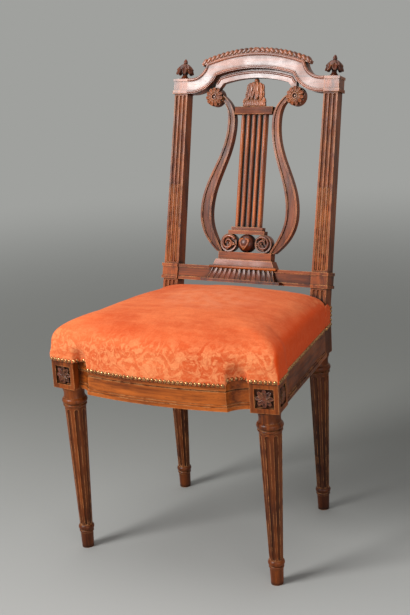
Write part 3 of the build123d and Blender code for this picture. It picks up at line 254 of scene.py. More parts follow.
def thicken(piece, thickness):
    """Give a sheet its thickness, half of it to each side."""
    wall = piece.modifiers.new("thickness", "SOLIDIFY")
    wall.thickness = thickness
    wall.offset = 0.0
    apply_modifiers(piece)
    recalculate(piece)


def subdivide_smooth(piece, levels):
    """Applied subdivision surface."""
    modifier = piece.modifiers.new("smooth", "SUBSURF")
    modifier.levels = modifier.render_levels = levels
    apply_modifiers(piece)


def back_place(across, up, forward):
    """Place on the raked back: X across, Y up the rake, Z to the front."""
    y = BACK_Y + up * sin(RAKE) - forward * cos(RAKE)
    z = RAIL_TOP + up * cos(RAKE) + forward * sin(RAKE)
    turn = Matrix(((1, 0, 0), (0, sin(RAKE), -cos(RAKE)), (0, cos(RAKE), sin(RAKE))))
    return Matrix.Translation((across, y, z)) @ turn.to_4x4()


def spin(angle):
    """Turn about the local axis that faces the viewer."""
    return Matrix.Rotation(angle, 4, "Z")


def move(x, y, z):
    """Shift in local coordinates."""
    return Matrix.Translation((x, y, z))


MIRROR = Matrix.Diagonal((-1, 1, 1, 1))
SIDES = {"right": 1, "left": -1}
FLIPS = {"right": Matrix.Identity(4), "left": MIRROR}


# Shader node helpers


class Tree:
    """Short ways to add and link nodes in one node tree."""

    def __init__(self, tree):
        self.tree = tree

    def add(self, kind, sockets=None, **settings):
        """Add a node, with settings and with values or links for its inputs."""
        node = self.tree.nodes.new(kind)
        for key, value in settings.items():
            setattr(node, key, value)
        for key, value in (sockets or {}).items():
            self.feed(node.inputs[key], value)
        return node

    def feed(self, socket, value):
        """Link an output to a socket, or set the socket's value."""
        if isinstance(value, bpy.types.NodeSocket):
            self.tree.links.new(value, socket)
        else:
            socket.default_value = value

    def math(self, operation, first, second=0.0, clamp=False):
        """Math node's result."""
        node = self.add("ShaderNodeMath", {0: first, 1: second}, operation=operation, use_clamp=clamp)
        return node.outputs[0]

    def weigh(self, *terms):
        """Sum of values, each given with its weight."""
        parts = [self.math("MULTIPLY", value, weight) for value, weight in terms]
        total = parts[0]
        for part in parts[1:]:
            total = self.math("ADD", total, part)
        return total

    def noise(self, vector, scale, detail=4.0, roughness=0.55, distortion=0.0):
        """Noise texture's value."""
        node = self.add("ShaderNodeTexNoise", {"Vector": vector, "Scale": scale, "Detail": detail,
                                               "Roughness": roughness, "Distortion": distortion})
        return node.outputs[0]

    def fit(self, value, low, high, to_low=0.0, to_high=1.0):
        """Smooth map of a value from one range to another."""
        node = self.add("ShaderNodeMapRange", {"Value": value, "From Min": low, "From Max": high,
                                               "To Min": to_low, "To Max": to_high},
                        interpolation_type="SMOOTHSTEP")
        return node.outputs[0]

    def mix(self, factor, first, second):
        """Colour mix."""
        node = self.add("ShaderNodeMix", data_type="RGBA")
        self.feed(node.inputs[0], factor)
        self.feed(node.inputs[6], first)
        self.feed(node.inputs[7], second)
        return node.outputs[2]

    def cover(self, mask, share, below, above):
        """Colour with another laid over it where a mask is, by a share."""
        return self.mix(self.math("MULTIPLY", mask, share), below, above)

    def stretch(self, vector, scale):
        """Vector scaled by three factors."""
        return self.add("ShaderNodeVectorMath", {0: vector, 1: scale}, operation="MULTIPLY").outputs[0]

    def group(self, tree, sockets):
        """Place a node group."""
        node = self.tree.nodes.new("ShaderNodeGroup")
        node.node_tree = tree
        for key, value in sockets.items():
            self.feed(node.inputs[key], value)
        return node

    def send(self, outlets):
        """Link results to the group's outputs."""
        for key, value in outlets.items():
            self.tree.links.new(value, self.outlet.inputs[key])


def new_group(name, inputs, outputs):
    """Empty shader node group with named sockets."""
    group = bpy.data.node_groups.new(name, "ShaderNodeTree")
    for label, kind, value in inputs:
        socket = group.interface.new_socket(label, in_out="INPUT", socket_type=kind)
        if value is not None:
            socket.default_value = value
    for label, kind in outputs:
        group.interface.new_socket(label, in_out="OUTPUT", socket_type=kind)
    tree = Tree(group)
    tree.inlet = group.nodes.new("NodeGroupInput")
    tree.outlet = group.nodes.new("NodeGroupOutput")
    return tree


def new_material(name):
    """Material with a Principled shader; gives its tree, shader and object coordinates."""
    material = bpy.data.materials.new(name)
    material.use_nodes = True
    material.node_tree.nodes.clear()
    tree = Tree(material.node_tree)
    shader = tree.add("ShaderNodeBsdfPrincipled")
    output = tree.add("ShaderNodeOutputMaterial")
    tree.tree.links.new(shader.outputs[0], output.inputs[0])
    coordinates = tree.add("ShaderNodeTexCoord").outputs["Object"]
    return material, tree, shader, coordinates


def bump(tree, shader, height, distance, strength):
    """Feed the shader's normal from a height."""
    node = tree.add("ShaderNodeBump", {"Height": height, "Distance": distance, "Strength": strength})
    tree.feed(shader.inputs["Normal"], node.outputs[0])


# Shared effects

# Waves of the grain per metre: across it both ways, then along it
GRAIN_FIGURE = (34.0, 34.0, 3.2)
GRAIN_STREAK = (190.0, 190.0, 7.0)
GRAIN_PORES = (1100.0, 1100.0, 46.0)


def wood_grain_group():
    """Grain that runs along the vector's Z: a tone, open pores and a height."""
    outputs = [(label, "NodeSocketFloat") for label in ("Tone", "Pores", "Height")]
    tree = new_group("wood_grain", [("Vector", "NodeSocketVector", None)], outputs)
    vector = tree.inlet.outputs["Vector"]
    figure = tree.noise(tree.stretch(vector, GRAIN_FIGURE), 1.0, detail=5.0, roughness=0.6, distortion=0.7)
    streak = tree.noise(tree.stretch(vector, GRAIN_STREAK), 1.0, detail=4.0, roughness=0.65)
    blotch = tree.noise(vector, 11.0, detail=3.0)
    tone = tree.fit(tree.weigh((figure, 0.5), (streak, 0.3), (blotch, 0.2)), 0.36, 0.64)
    pores = tree.fit(tree.noise(tree.stretch(vector, GRAIN_PORES), 1.0, detail=2.0), 0.6, 0.7)
    height = tree.weigh((streak, 0.35), (pores, -0.6))
    tree.send({"Tone": tone, "Pores": pores, "Height": height})
    return tree.tree


# Reach of the painted shade in hollows, and radius of the lit and worn edges
SHADE_REACH = 0.010
EDGE_RADIUS = 0.0026


def shade_dirt_edge_light_group():
    """Darkening in hollows, painted shade with some soiling, and lighter edges, wear with a painted
    highlight.
    """
    inputs = [("Vector", "NodeSocketVector", None), ("Reach", "NodeSocketFloat", SHADE_REACH)]
    tree = new_group("shade_dirt_edges", inputs, [("Hollow_shade_dirt", "NodeSocketFloat"), ("Edges_worn_and_lit", "NodeSocketFloat")])
    vector = tree.inlet.outputs["Vector"]
    reach = tree.inlet.outputs["Reach"]
    hollow = tree.add("ShaderNodeAmbientOcclusion", {"Distance": reach}, samples=6).outputs["AO"]
    uneven = tree.noise(vector, 60.0, detail=3.0)
    # Painted shade in hollows, found by ambient occlusion, with some soiling
    shade_and_dirt = tree.math("SUBTRACT", 1.0, tree.fit(hollow, 0.5, 0.98))
    shade_and_dirt = tree.math("MULTIPLY", shade_and_dirt, tree.fit(uneven, 0.2, 0.6, 0.7, 1.0), clamp=True)
    # Lighter edges: wear with a painted highlight
    rounded = tree.add("ShaderNodeBevel", {"Radius": EDGE_RADIUS}, samples=4).outputs[0]
    flat = tree.add("ShaderNodeNewGeometry").outputs["Normal"]
    same = tree.add("ShaderNodeVectorMath", {0: rounded, 1: flat}, operation="DOT_PRODUCT").outputs["Value"]
    worn_highlit_edges = tree.fit(tree.math("SUBTRACT", 1.0, same), 0.01, 0.18)
    worn_highlit_edges = tree.math("MULTIPLY", worn_highlit_edges, tree.fit(uneven, 0.35, 0.6), clamp=True)
    tree.send({"Hollow_shade_dirt": shade_and_dirt, "Edges_worn_and_lit": worn_highlit_edges})
    return tree.tree


SLUB_STRETCH = (300.0, 20.0, 20.0)


def weave_group():
    """Plain weave on two directions of the vector: a height and a thread tone."""
    inputs = [("Vector", "NodeSocketVector", None), ("Threads", "NodeSocketFloat", None)]
    tree = new_group("weave", inputs, [("Height", "NodeSocketFloat"), ("Tone", "NodeSocketFloat")])
    vector = tree.inlet.outputs["Vector"]
    parts = tree.add("ShaderNodeSeparateXYZ", {0: vector}).outputs
    threads = tree.inlet.outputs["Threads"]
    warp = tree.math("SINE", tree.math("MULTIPLY", parts[0], threads))
    weft = tree.math("SINE", tree.math("MULTIPLY", parts[1], threads))
    height = tree.math("ABSOLUTE", tree.math("MULTIPLY", warp, weft))
    tone = tree.noise(tree.stretch(vector, SLUB_STRETCH), 1.0, detail=3.0)
    tree.send({"Height": height, "Tone": tone})
    return tree.tree


WOOD_GRAIN = wood_grain_group()
SHADE_DIRT_EDGE_LIGHT = shade_dirt_edge_light_group()
WEAVE = weave_group()
GRAIN_TURNS = {"up": (0, 0, 0), "back": (RAKE, 0, 0), "across": (0, pi / 2, 0), "deep": (pi / 2, 0, SPLAY)}


# Finishes

# Height over which the painted shade low on the legs fades in
LOW_SHADE_FADE = 0.01
CREST_FADE = 0.004
COAT_SHARE = 0.25


def grain_along(tree, coordinates, grain):
    """Wood grain, turned to a direction."""
    turned = tree.add("ShaderNodeMapping", {"Vector": coordinates, "Rotation": GRAIN_TURNS[grain]})
    return tree.group(WOOD_GRAIN, {"Vector": turned.outputs[0]}).outputs


def stained_wood(name, grain, warmth, shine=0.22, worn_highlight=0.8, shade_and_dirt=0.92, crest_coat=None, low_shade=None):
    """Old stained and waxed wood, with the grain along a direction; warmth moves it to the orange tone.

    The share and the height for painted shade darken the wood below that height, where it stands in the
    seat's shade. crest_coat is the coat on the crest.
    """
    material, tree, shader, coordinates = new_material(name)
    wood = grain_along(tree, coordinates, grain)
    shade_dirt_edges = tree.group(SHADE_DIRT_EDGE_LIGHT, {"Vector": coordinates}).outputs
    dark = blend(STAIN_DARK, WARM_DARK, warmth)
    light = blend(STAIN_LIGHT, WARM_LIGHT, warmth)
    colour = tree.mix(wood["Tone"], dark, light)
    colour = tree.cover(wood["Pores"], 0.55, colour, OPEN_PORE)
    # Painted shade in hollows, with some soiling
    colour = tree.cover(shade_dirt_edges["Hollow_shade_dirt"], shade_and_dirt, colour, SHADE_AND_DIRT_BROWN)
    if low_shade or crest_coat:
        height = tree.add("ShaderNodeSeparateXYZ", {0: coordinates}).outputs[2]
    # Painted shade: darker below a height, in the shade under the seat
    if low_shade:
        share, level = low_shade
        darkened = tree.fit(height, level - LOW_SHADE_FADE, level + LOW_SHADE_FADE, share, 0.0)
        colour = tree.mix(darkened, colour, SHADE_AND_DIRT_BROWN)
    # Lighter edges: wear with a painted highlight
    colour = tree.cover(shade_dirt_edges["Edges_worn_and_lit"], worn_highlight, colour, WORN_HIGHLIT_EDGE)
    tree.feed(shader.inputs["Base Color"], colour)
    waxed = tree.fit(tree.noise(coordinates, 24.0, detail=4.0), 0.3, 0.7, 0.30, 0.46)
    rough = tree.math("ADD", waxed, tree.math("MULTIPLY", shade_dirt_edges["Hollow_shade_dirt"], 0.25), clamp=True)
    tree.feed(shader.inputs["Roughness"], rough)
    shader.inputs["Specular IOR Level"].default_value = shine
    coat = COAT_SHARE * shine
    if crest_coat:
        coat = tree.fit(height, CREST_FOOT, CREST_FOOT + CREST_FADE, coat, crest_coat)
    tree.feed(shader.inputs["Coat Weight"], coat)
    shader.inputs["Coat Roughness"].default_value = 0.22
    bump(tree, shader, wood["Height"], distance=0.0003, strength=0.16)
    return material


def raw_wood():
    """Unfinished beech for the pieces inside the seat frame."""
    material, tree, shader, coordinates = new_material("raw_beech")
    wood = grain_along(tree, coordinates, "across")
    shade_dirt_edges = tree.group(SHADE_DIRT_EDGE_LIGHT, {"Vector": coordinates}).outputs
    colour = tree.mix(wood["Tone"], BEECH_DARK, BEECH_LIGHT)
    # Painted shade in hollows, with some soiling
    colour = tree.cover(shade_dirt_edges["Hollow_shade_dirt"], 0.6, colour, BEECH_SHADE_AND_DIRT)
    tree.feed(shader.inputs["Base Color"], colour)
    tree.feed(shader.inputs["Roughness"], tree.fit(wood["Tone"], 0.0, 1.0, 0.7, 0.85))
    bump(tree, shader, wood["Height"], distance=0.0004, strength=0.6)
    return material


BRUSHED_STRETCH = (14.0, 60.0, 60.0)

# Zones of the velvet: heights on the seat, the worn oval from above, and the side that faces right, which
# gets a painted shade colour
FIGURE_LEVELS = (0.428, 0.458)
WORN_CENTRE, WORN_REACH = (0.01, -0.03), (0.12, 0.09)
WORN_LEVELS = (0.445, 0.462)
SHADE_SIDE_FACING, SHADE_SIDE_X = (0.30, 0.85), (0.168, 0.190)


def nap_figure(tree, coordinates, level):
    """Mask of the velvet's figure: curls and sprigs, whole on the sides and faint on top."""
    curls = tree.noise(coordinates, 40.0, detail=2.0, roughness=0.5, distortion=2.2)
    sprigs = tree.noise(coordinates, 90.0, detail=2.0, roughness=0.55, distortion=1.8)
    nap = tree.weigh((tree.fit(curls, 0.46, 0.57), 0.65), (tree.fit(sprigs, 0.47, 0.59), 0.35))
    return tree.math("MULTIPLY", nap, tree.fit(level, *FIGURE_LEVELS, 1.0, 0.16))


def worn_patch(tree, coordinates, place):
    """Mask of the oval on top where the nap is sat flat."""
    squares = []
    for axis in (0, 1):
        share = tree.math("DIVIDE", tree.math("SUBTRACT", place[axis], WORN_CENTRE[axis]), WORN_REACH[axis])
        squares.append(tree.math("POWER", share, 2.0))
    oval = tree.fit(tree.math("ADD", *squares), 0.0, 1.4, 1.0, 0.0)
    patchy = tree.fit(tree.noise(coordinates, 42.0, detail=5.0), 0.3, 0.7)
    worn = tree.math("MULTIPLY", oval, patchy, clamp=True)
    return tree.math("MULTIPLY", worn, tree.fit(place[2], *WORN_LEVELS), clamp=True)


def shade_side_mask(tree, place):
    """Mask of the right side, where a deeper red is painted for the velvet in shade."""
    normal = tree.add("ShaderNodeNewGeometry").outputs["Normal"]
    facing = tree.fit(tree.add("ShaderNodeSeparateXYZ", {0: normal}).outputs[0], *SHADE_SIDE_FACING)
    return tree.math("MULTIPLY", facing, tree.fit(place[0], *SHADE_SIDE_X, 0.0, 0.85))


def velvet():
    """Orange cut velvet: worn figured nap, paler where it was sat on, with a painted shade colour on its
    right side.
    """
    material, tree, shader, coordinates = new_material("orange_velvet")
    place = tree.add("ShaderNodeSeparateXYZ", {0: coordinates}).outputs
    figure = nap_figure(tree, coordinates, place[2])
    brushed = tree.noise(tree.stretch(coordinates, BRUSHED_STRETCH), 1.0, detail=4.0, roughness=0.6)
    cloud = tree.noise(coordinates, 8.0, detail=3.0)
    shade = tree.fit(tree.weigh((brushed, 0.35), (cloud, 0.65)), 0.34, 0.64)
    fleck = tree.fit(tree.noise(coordinates, 420.0, detail=3.0), 0.42, 0.7)
    colour = tree.mix(shade, NAP_DEEP, NAP_BRIGHT)
    colour = tree.cover(figure, 0.66, colour, NAP_FIGURE)
    colour = tree.cover(fleck, 0.22, colour, NAP_FLECK)
    colour = tree.cover(worn_patch(tree, coordinates, place), 0.4, colour, NAP_WORN)
    # Painted shade: a deeper red on the right side
    colour = tree.mix(shade_side_mask(tree, place), colour, NAP_SHADE_SIDE)
    tree.feed(shader.inputs["Base Color"], colour)
    tree.feed(shader.inputs["Roughness"], tree.fit(cloud, 0.2, 0.8, 0.8, 0.95))
    shader.inputs["Sheen Weight"].default_value = 0.15
    shader.inputs["Sheen Roughness"].default_value = 0.45
    shader.inputs["Sheen Tint"].default_value = NAP_SHEEN
    shader.inputs["Specular IOR Level"].default_value = 0.2
    pile = tree.noise(coordinates, 1500.0, detail=2.0)
    bump(tree, shader, tree.weigh((pile, 0.35), (figure, 0.5)), distance=0.0009, strength=0.6)
    return material


# Reach of the painted shade round the nails
NAIL_SHADE_REACH = 0.003


def aged_brass():
    """Dull brass with brown tarnish."""
    material, tree, shader, coordinates = new_material("aged_brass")
    shade_dirt_edges = tree.group(SHADE_DIRT_EDGE_LIGHT, {"Vector": coordinates, "Reach": NAIL_SHADE_REACH}).outputs
    spots = tree.fit(tree.noise(coordinates, 260.0, detail=4.0), 0.35, 0.65)
    colour = tree.mix(spots, BRASS_BRIGHT, BRASS_TARNISH)
    # Painted shade in hollows, with some tarnish
    colour = tree.cover(shade_dirt_edges["Hollow_shade_dirt"], 0.7, colour, BRASS_SHADE_AND_TARNISH)
    tree.feed(shader.inputs["Base Color"], colour)
    shader.inputs["Metallic"].default_value = 0.9
    tree.feed(shader.inputs["Roughness"], tree.fit(spots, 0.0, 1.0, 0.18, 0.34))
    bump(tree, shader, tree.noise(coordinates, 700.0, detail=2.0), distance=0.0002, strength=0.4)
    return material


def woven(name, first, second, threads):
    """Coarse undyed cloth, as on webbing and base cloth."""
    material, tree, shader, coordinates = new_material(name)
    weave = tree.group(WEAVE, {"Vector": coordinates, "Threads": threads}).outputs
    colour = tree.mix(weave["Tone"], first, second)
    colour = tree.cover(weave["Height"], 0.3, THREAD_GAP, colour)
    tree.feed(shader.inputs["Base Color"], colour)
    tree.feed(shader.inputs["Roughness"], tree.fit(weave["Tone"], 0.0, 1.0, 0.82, 0.96))
    bump(tree, shader, weave["Height"], distance=0.0006, strength=0.7)
    return material


# Legs and posts get painted shade below the leg tops and below the seat rails
WOOD_UP = stained_wood("stained_wood_up", "up", warmth=0.34, low_shade=(0.30, LEG_TOP))
WOOD_POST = stained_wood("stained_wood_post", "up", warmth=0.34, crest_coat=0.40, low_shade=(0.55, RAIL_TOP))
WOOD_BACK = stained_wood("stained_wood_back", "back", warmth=0.25)
WOOD_ACROSS = stained_wood("stained_wood_across", "across", warmth=0.20)
WOOD_RAIL = stained_wood("stained_wood_rail", "across", warmth=0.70)
WOOD_DEEP = stained_wood("stained_wood_deep", "deep", warmth=0.40)
WOOD_CREST = stained_wood("stained_wood_crest", "across", warmth=0.35, shine=0.70, worn_highlight=0.2)
WOOD_BEAD = stained_wood("stained_wood_bead", "across", warmth=0.45, shine=0.75, worn_highlight=0.0, shade_and_dirt=0.3)
WOOD_CARVED = stained_wood("stained_wood_carved", "back", warmth=0.34, shine=0.60, worn_highlight=0.55)
WOOD_LEAF = stained_wood("stained_wood_leaf", "back", warmth=0.75, shine=0.60, worn_highlight=0.55, shade_and_dirt=0.80)
WOOD_DARK = stained_wood("stained_wood_dark", "back", warmth=-0.15, shine=0.45, worn_highlight=0.3)
WOOD_STRING = stained_wood("stained_wood_string", "back", warmth=1.0, shine=0.45)
WOOD_FLUTED = stained_wood("stained_wood_fluted", "back", warmth=-0.15, shine=0.34, worn_highlight=0.5)
WOOD_YOKE = stained_wood("stained_wood_yoke", "across", warmth=0.12, shine=0.06)
BEECH = raw_wood()
VELVET = velvet()
BRASS = aged_brass()
JUTE = woven("jute_webbing", JUTE_DARK, JUTE_LIGHT, threads=2400.0)
HESSIAN = woven("hessian", HESSIAN_DARK, HESSIAN_LIGHT, threads=3200.0)

STRINGS = 5
NODE_MATERIALS = {
    "front_leg_left": WOOD_UP, "front_leg_right": WOOD_UP,
    "rear_post_left": WOOD_POST, "rear_post_right": WOOD_POST,
    "front_seat_rail": WOOD_RAIL, "rear_seat_rail": WOOD_RAIL,
    "side_seat_rail_left": WOOD_DEEP, "side_seat_rail_right": WOOD_DEEP,
    "corner_block_front_left": BEECH, "corner_block_front_right": BEECH,
    "corner_block_rear_left": BEECH, "corner_block_rear_right": BEECH,
    "crest_rail": WOOD_CREST, "lower_back_rail": WOOD_ACROSS, "lyre_base": WOOD_FLUTED,
    "lyre_plinth": WOOD_ACROSS, "string_plinth": WOOD_ACROSS, "lyre_yoke": WOOD_YOKE,
    "lyre_arm_left": WOOD_BACK, "lyre_arm_right": WOOD_BACK,
    **{f"lyre_string_{number + 1}": WOOD_STRING for number in range(STRINGS)},
    "brass_nails": BRASS, "joint_pegs": BEECH,
}


def finish_nodes():
    """Give the CAD pieces that show as they are their finishes."""
    for name, material in NODE_MATERIALS.items():
        slots = nodes[name].data.materials
        slots.clear()
        slots.append(material)


finish_nodes()


# Seat cushion

FRONT_HEAD = Matrix.Translation((FRONT_X, FRONT_Y, 0)) @ Matrix.Rotation(SPLAY, 4, "Z")
BOW_RADIUS = (BOW_HALF**2 + BOW_SWEEP**2) / (2 * BOW_SWEEP)
SIDE_OUTER = FRONT_BLOCK / 2 - SIDE_SETBACK
SEAT_CENTRE = Vector((0, SEAT_CENTRE_Y))
COVER_OUTSIDE = CLOTH_GAP + COVER_THICKNESS

# Points on each stretch of the right half's outline, from the bow's middle to the middle of the rear
SEGMENT_POINTS = (30, 10, 5, 10, 10, 2, 54, 32)

# Rings of the floor and the skirt, then of the wall and the crown
FLOOR_SHARES = (0.15, 0.4, 0.7, 0.9, 1.0)
SKIRT_SHARES = (0.0, 0.35, 0.7, 1.0)
SKIRT_ROWS = len(FLOOR_SHARES) + 1 + len(SKIRT_SHARES)
WALL_STEP, WALL_STEPS = 0.05, 13
CROWN_STEPS = 30
CROWN_STEEP, CROWN_ROUND = 5.5, 1.95
SWELL, SWELL_PACE = 0.004, 1.4
EASE_ROUNDS, EASE_MORE = 2, 10
RETURN_LOW, RETURN_HIGH = 0.390, 0.428
OVAL_X, OVAL_Y = 0.212, 0.192
OVAL_SHARE, OVAL_POWER = 0.8, 4
FRONT_LIFT, MIDDLE_LIFT = 0.04, 0.4

# Lumps of the stuffing: waves per metre and weights
LUMPS = ((23.0, 0.6), (55.0, 0.3))
LUMP_HEIGHT = 0.0012


def leg_point(x, y):
    """Point in the turned square of the right front leg's block."""
    return (FRONT_HEAD @ Vector((x, y, 0))).to_2d()


def seat_corners(notch):
    """Corners of the right half of the seat, with the returns beside the bow as deep as notch says."""
    half = FRONT_BLOCK / 2
    bow_end = Vector((BOW_HALF, FRONT_Y - BOW_REACH + BOW_SWEEP))
    block_inner = leg_point(-half, -half)
    flush = (bow_end + block_inner) / 2
    recess = flush + (Vector((RETURN_HALF, FRONT_Y - RETURN_REACH)) - flush) * notch
    along = (REAR_EDGE - FRONT_Y - SIDE_OUTER * sin(SPLAY)) / cos(SPLAY)
    return [bow_end, recess, block_inner, leg_point(half, -half), leg_point(half, half),
            leg_point(SIDE_OUTER, half), leg_point(SIDE_OUTER, along)]


def grown_corners(corners, grow):
    """Corners moved out by grow from both of their edges."""
    bow_way = Vector((sqrt(BOW_RADIUS**2 - BOW_HALF**2), BOW_HALF))
    path = [corners[0] - bow_way] + corners + [corners[-1] - Vector((REAR_X, 0))]
    grown = []
    for before, corner, after in zip(path, path[1:], path[2:]):
        way_in = (corner - before).normalized()
        way_out = (after - corner).normalized()
        out = Vector((way_in.y + way_out.y, -way_in.x - way_out.x))
        grown.append(corner + out * (grow / (1 + way_in.dot(way_out))))
    return grown


def arc_points(start, end, swell, count):
    """Points of a shallow arc from start to end, which swells to the right of the way."""
    way = end - start
    side = Vector((way.y, -way.x)).normalized()
    shares = [n / count for n in range(count)]
    return [start + way * share + side * (4 * swell * share * (1 - share)) for share in shares]


def seat_outline(notch, grow):
    """Closed outline of the seat, with the same number of points for every notch."""
    corners = grown_corners(seat_corners(notch), grow)
    front = Vector((0, FRONT_Y - BOW_REACH - grow))
    rear = Vector((0, corners[-1].y))
    stops = [front] + corners + [rear]
    swells = [BOW_SWEEP / 4, -RETURN_HOLLOW * notch] + [0] * (len(SEGMENT_POINTS) - 2)
    half = []
    for start, end, swell, count in zip(stops, stops[1:], swells, SEGMENT_POINTS):
        half += arc_points(start, end, swell, count)
    other = [Vector((-p.x, p.y)) for p in reversed(half[1:])]
    return half + [rear] + other


def softened(points, rounds):
    """Outline with its corners eased by averaging neighbours."""
    count = len(points)
    for _ in range(rounds):
        points = [points[n] * 0.5 + (points[n - 1] + points[(n + 1) % count]) * 0.25 for n in range(count)]
    return points


def drawn_in(points, share):
    """Outline drawn in towards the seat's centre."""
    return [SEAT_CENTRE + (point - SEAT_CENTRE) * share for point in points]


def toward_oval(points, share):
    """Outline moved part of the way to an oval round the seat's centre."""
    moved = []
    for point in points:
        way = point - SEAT_CENTRE
        turn = atan2(way.y / OVAL_Y, way.x / OVAL_X)
        oval = SEAT_CENTRE + Vector((OVAL_X * cos(turn), OVAL_Y * sin(turn)))
        moved.append(point + (oval - point) * share)
    return moved


def clear_of_posts(point):
    """Point pushed out of the room that the rear posts need: their blocks, and the raked stiles above."""
    up = max(0.0, point.z - RAIL_TOP)
    if up > STILE_START:
        front = BACK_Y + up * tan(RAKE) - POST_GAP
        inner = STILE_INNER - POST_GAP
    else:
        front = REAR_Y - REAR_BLOCK / 2 - POST_GAP
        inner = REAR_X - REAR_BLOCK / 2 - POST_GAP
    over_x = abs(point.x) - inner
    over_y = point.y - front
    if over_x <= 0 or over_y <= 0:
        return point
    if over_x < over_y:
        return Vector((inner if point.x > 0 else -inner, point.y, point.z))
    return Vector((point.x, front, point.z))


def share_between(value, low, high):
    """How far a value is from low to high: from 0 to 1, and no further."""
    return min(1.0, max(0.0, (value - low) / (high - low)))


def return_notch(level):
    """Depth of the returns at a height: whole at the nails, gone where the stuffing swells over them."""
    share = share_between(level, RETURN_LOW, RETURN_HIGH)
    return 1 - share * share * (3 - 2 * share)


def skirt_level(point, share):
    """Height on the skirt, from its lower edge to the floor; the edge hangs lower over the bow."""
    on_bow = point.y < FRONT_Y - BOW_REACH + BOW_SWEEP
    edge = SKIRT_BOTTOM - BOW_SKIRT_DROP if on_bow else SKIRT_BOTTOM
    return edge + (SEAT_FLOOR - edge) * share


def crown_lift(point):
    """Lift of the crown at a point: the front corners stand up and the rear corners lie lower."""
    aside = min(1.0, (point.x / OVAL_X) ** 2)
    reach = SEAT_CENTRE_Y - point.y
    return FRONT_LIFT * reach * (MIDDLE_LIFT + (1 - MIDDLE_LIFT) * aside if reach > 0 else aside)


def crown_rises():
    """Heights of the rings as shares: even steps up the wall, then even steps in towards the middle."""
    rises = [WALL_STEP + WALL_STEP * n for n in range(WALL_STEPS)]
    last = (1 - rises[-1] ** CROWN_STEEP) ** (1 / CROWN_ROUND)
    for n in range(1, CROWN_STEPS):
        rises.append((1 - (last * (1 - n / CROWN_STEPS)) ** CROWN_ROUND) ** (1 / CROWN_STEEP))
    return rises


def crown_ring(rise):
    """Ring of the wall or the crown: an eased outline, moved towards an oval and drawn in."""
    level = SEAT_FLOOR + (SEAT_TOP - SEAT_FLOOR) * rise
    swell = 1 + SWELL * sin(pi * min(rise * SWELL_PACE, 1.0))
    outline = seat_outline(return_notch(level), COVER_OUTSIDE)
    ring = softened(outline, int(EASE_ROUNDS + EASE_MORE * rise))
    ring = toward_oval(ring, OVAL_SHARE * rise**OVAL_POWER)
    ring = drawn_in(ring, swell * (1 - rise**CROWN_STEEP) ** (1 / CROWN_ROUND))
    return [(*p, level + crown_lift(p) * rise) for p in ring]


def cushion_rows():
    """Rings of the cushion from the floor's middle, round the skirt and over the crown."""
    inside = seat_outline(1, CLOTH_GAP)
    rows = [[(*p, SEAT_FLOOR) for p in drawn_in(inside, share)] for share in FLOOR_SHARES]
    rows.append([(*p, skirt_level(p, 0)) for p in inside])
    for share in SKIRT_SHARES:
        notch = return_notch(SKIRT_BOTTOM + (SEAT_FLOOR - SKIRT_BOTTOM) * share)
        outside = seat_outline(notch, COVER_OUTSIDE)
        rows.append([(*p, skirt_level(p, share)) for p in outside])
    return rows + [crown_ring(rise) for rise in crown_rises()]


def lumpy(place):
    """Place on the crown, lifted or lowered a little by the lumps of the stuffing."""
    lump = sum(noise.noise(place * scale) * weight for scale, weight in LUMPS)
    return place + Vector((0, 0, lump * LUMP_HEIGHT))


# Cloth simulation of the cushion
VOXEL = 0.006
PRESSURE = 4.0
CLOTH_FRAMES = 20
MOST_SWELL = 0.002
FADE_HEIGHT = 0.016
FADE_LOW, FADE_HIGH = SEAT_FLOOR, SEAT_FLOOR + FADE_HEIGHT
NEAR_COUNT, NEAR_SOFT = 8, 0.002


def pressed_copy(cushion):
    """Cloth simulation with inner pressure on an even copy: its places, and how far each of them moved."""
    copy = cushion.copy()
    copy.data = cushion.data.copy()
    bpy.context.scene.collection.objects.link(copy)
    make_active(copy)
    copy.data.remesh_voxel_size = VOXEL
    bpy.ops.object.voxel_remesh()
    start = [vertex.co.copy() for vertex in copy.data.vertices]
    held = [n for n, place in enumerate(start) if place.z < FADE_LOW]
    copy.vertex_groups.new(name="held").add(held, 1.0, "REPLACE")
    cloth = copy.modifiers.new("cloth", "CLOTH")
    cloth.settings.use_pressure = True
    cloth.settings.uniform_pressure_force = PRESSURE
    cloth.settings.vertex_group_mass = "held"
    cloth.settings.effector_weights.gravity = 0.0
    scene = bpy.context.scene
    for number in range(1, CLOTH_FRAMES + 1):
        scene.frame_set(number)
    apply_modifiers(copy)
    scene.frame_set(1)
    shifts = []
    for vertex, place in zip(copy.data.vertices, start):
        shift = vertex.co - place
        if shift.length > MOST_SWELL:
            shift *= MOST_SWELL / shift.length
        shifts.append(shift)
    discard(copy)
    return start, shifts


def blow_up(cushion):
    start, shifts = pressed_copy(cushion)
    tree = KDTree(len(start))
    for n, place in enumerate(start):
        tree.insert(place, n)
    tree.balance()
    for vertex in cushion.data.vertices:
        share = share_between(vertex.co.z, FADE_LOW, FADE_HIGH)
        if share > 0:
            found = tree.find_n(vertex.co, NEAR_COUNT)
            near = [(shifts[n], 1 / (gap + NEAR_SOFT)) for place, n, gap in found]
            total = sum(weight for shift, weight in near)
            vertex.co += sum((shift * weight for shift, weight in near), Vector()) * (share / total)


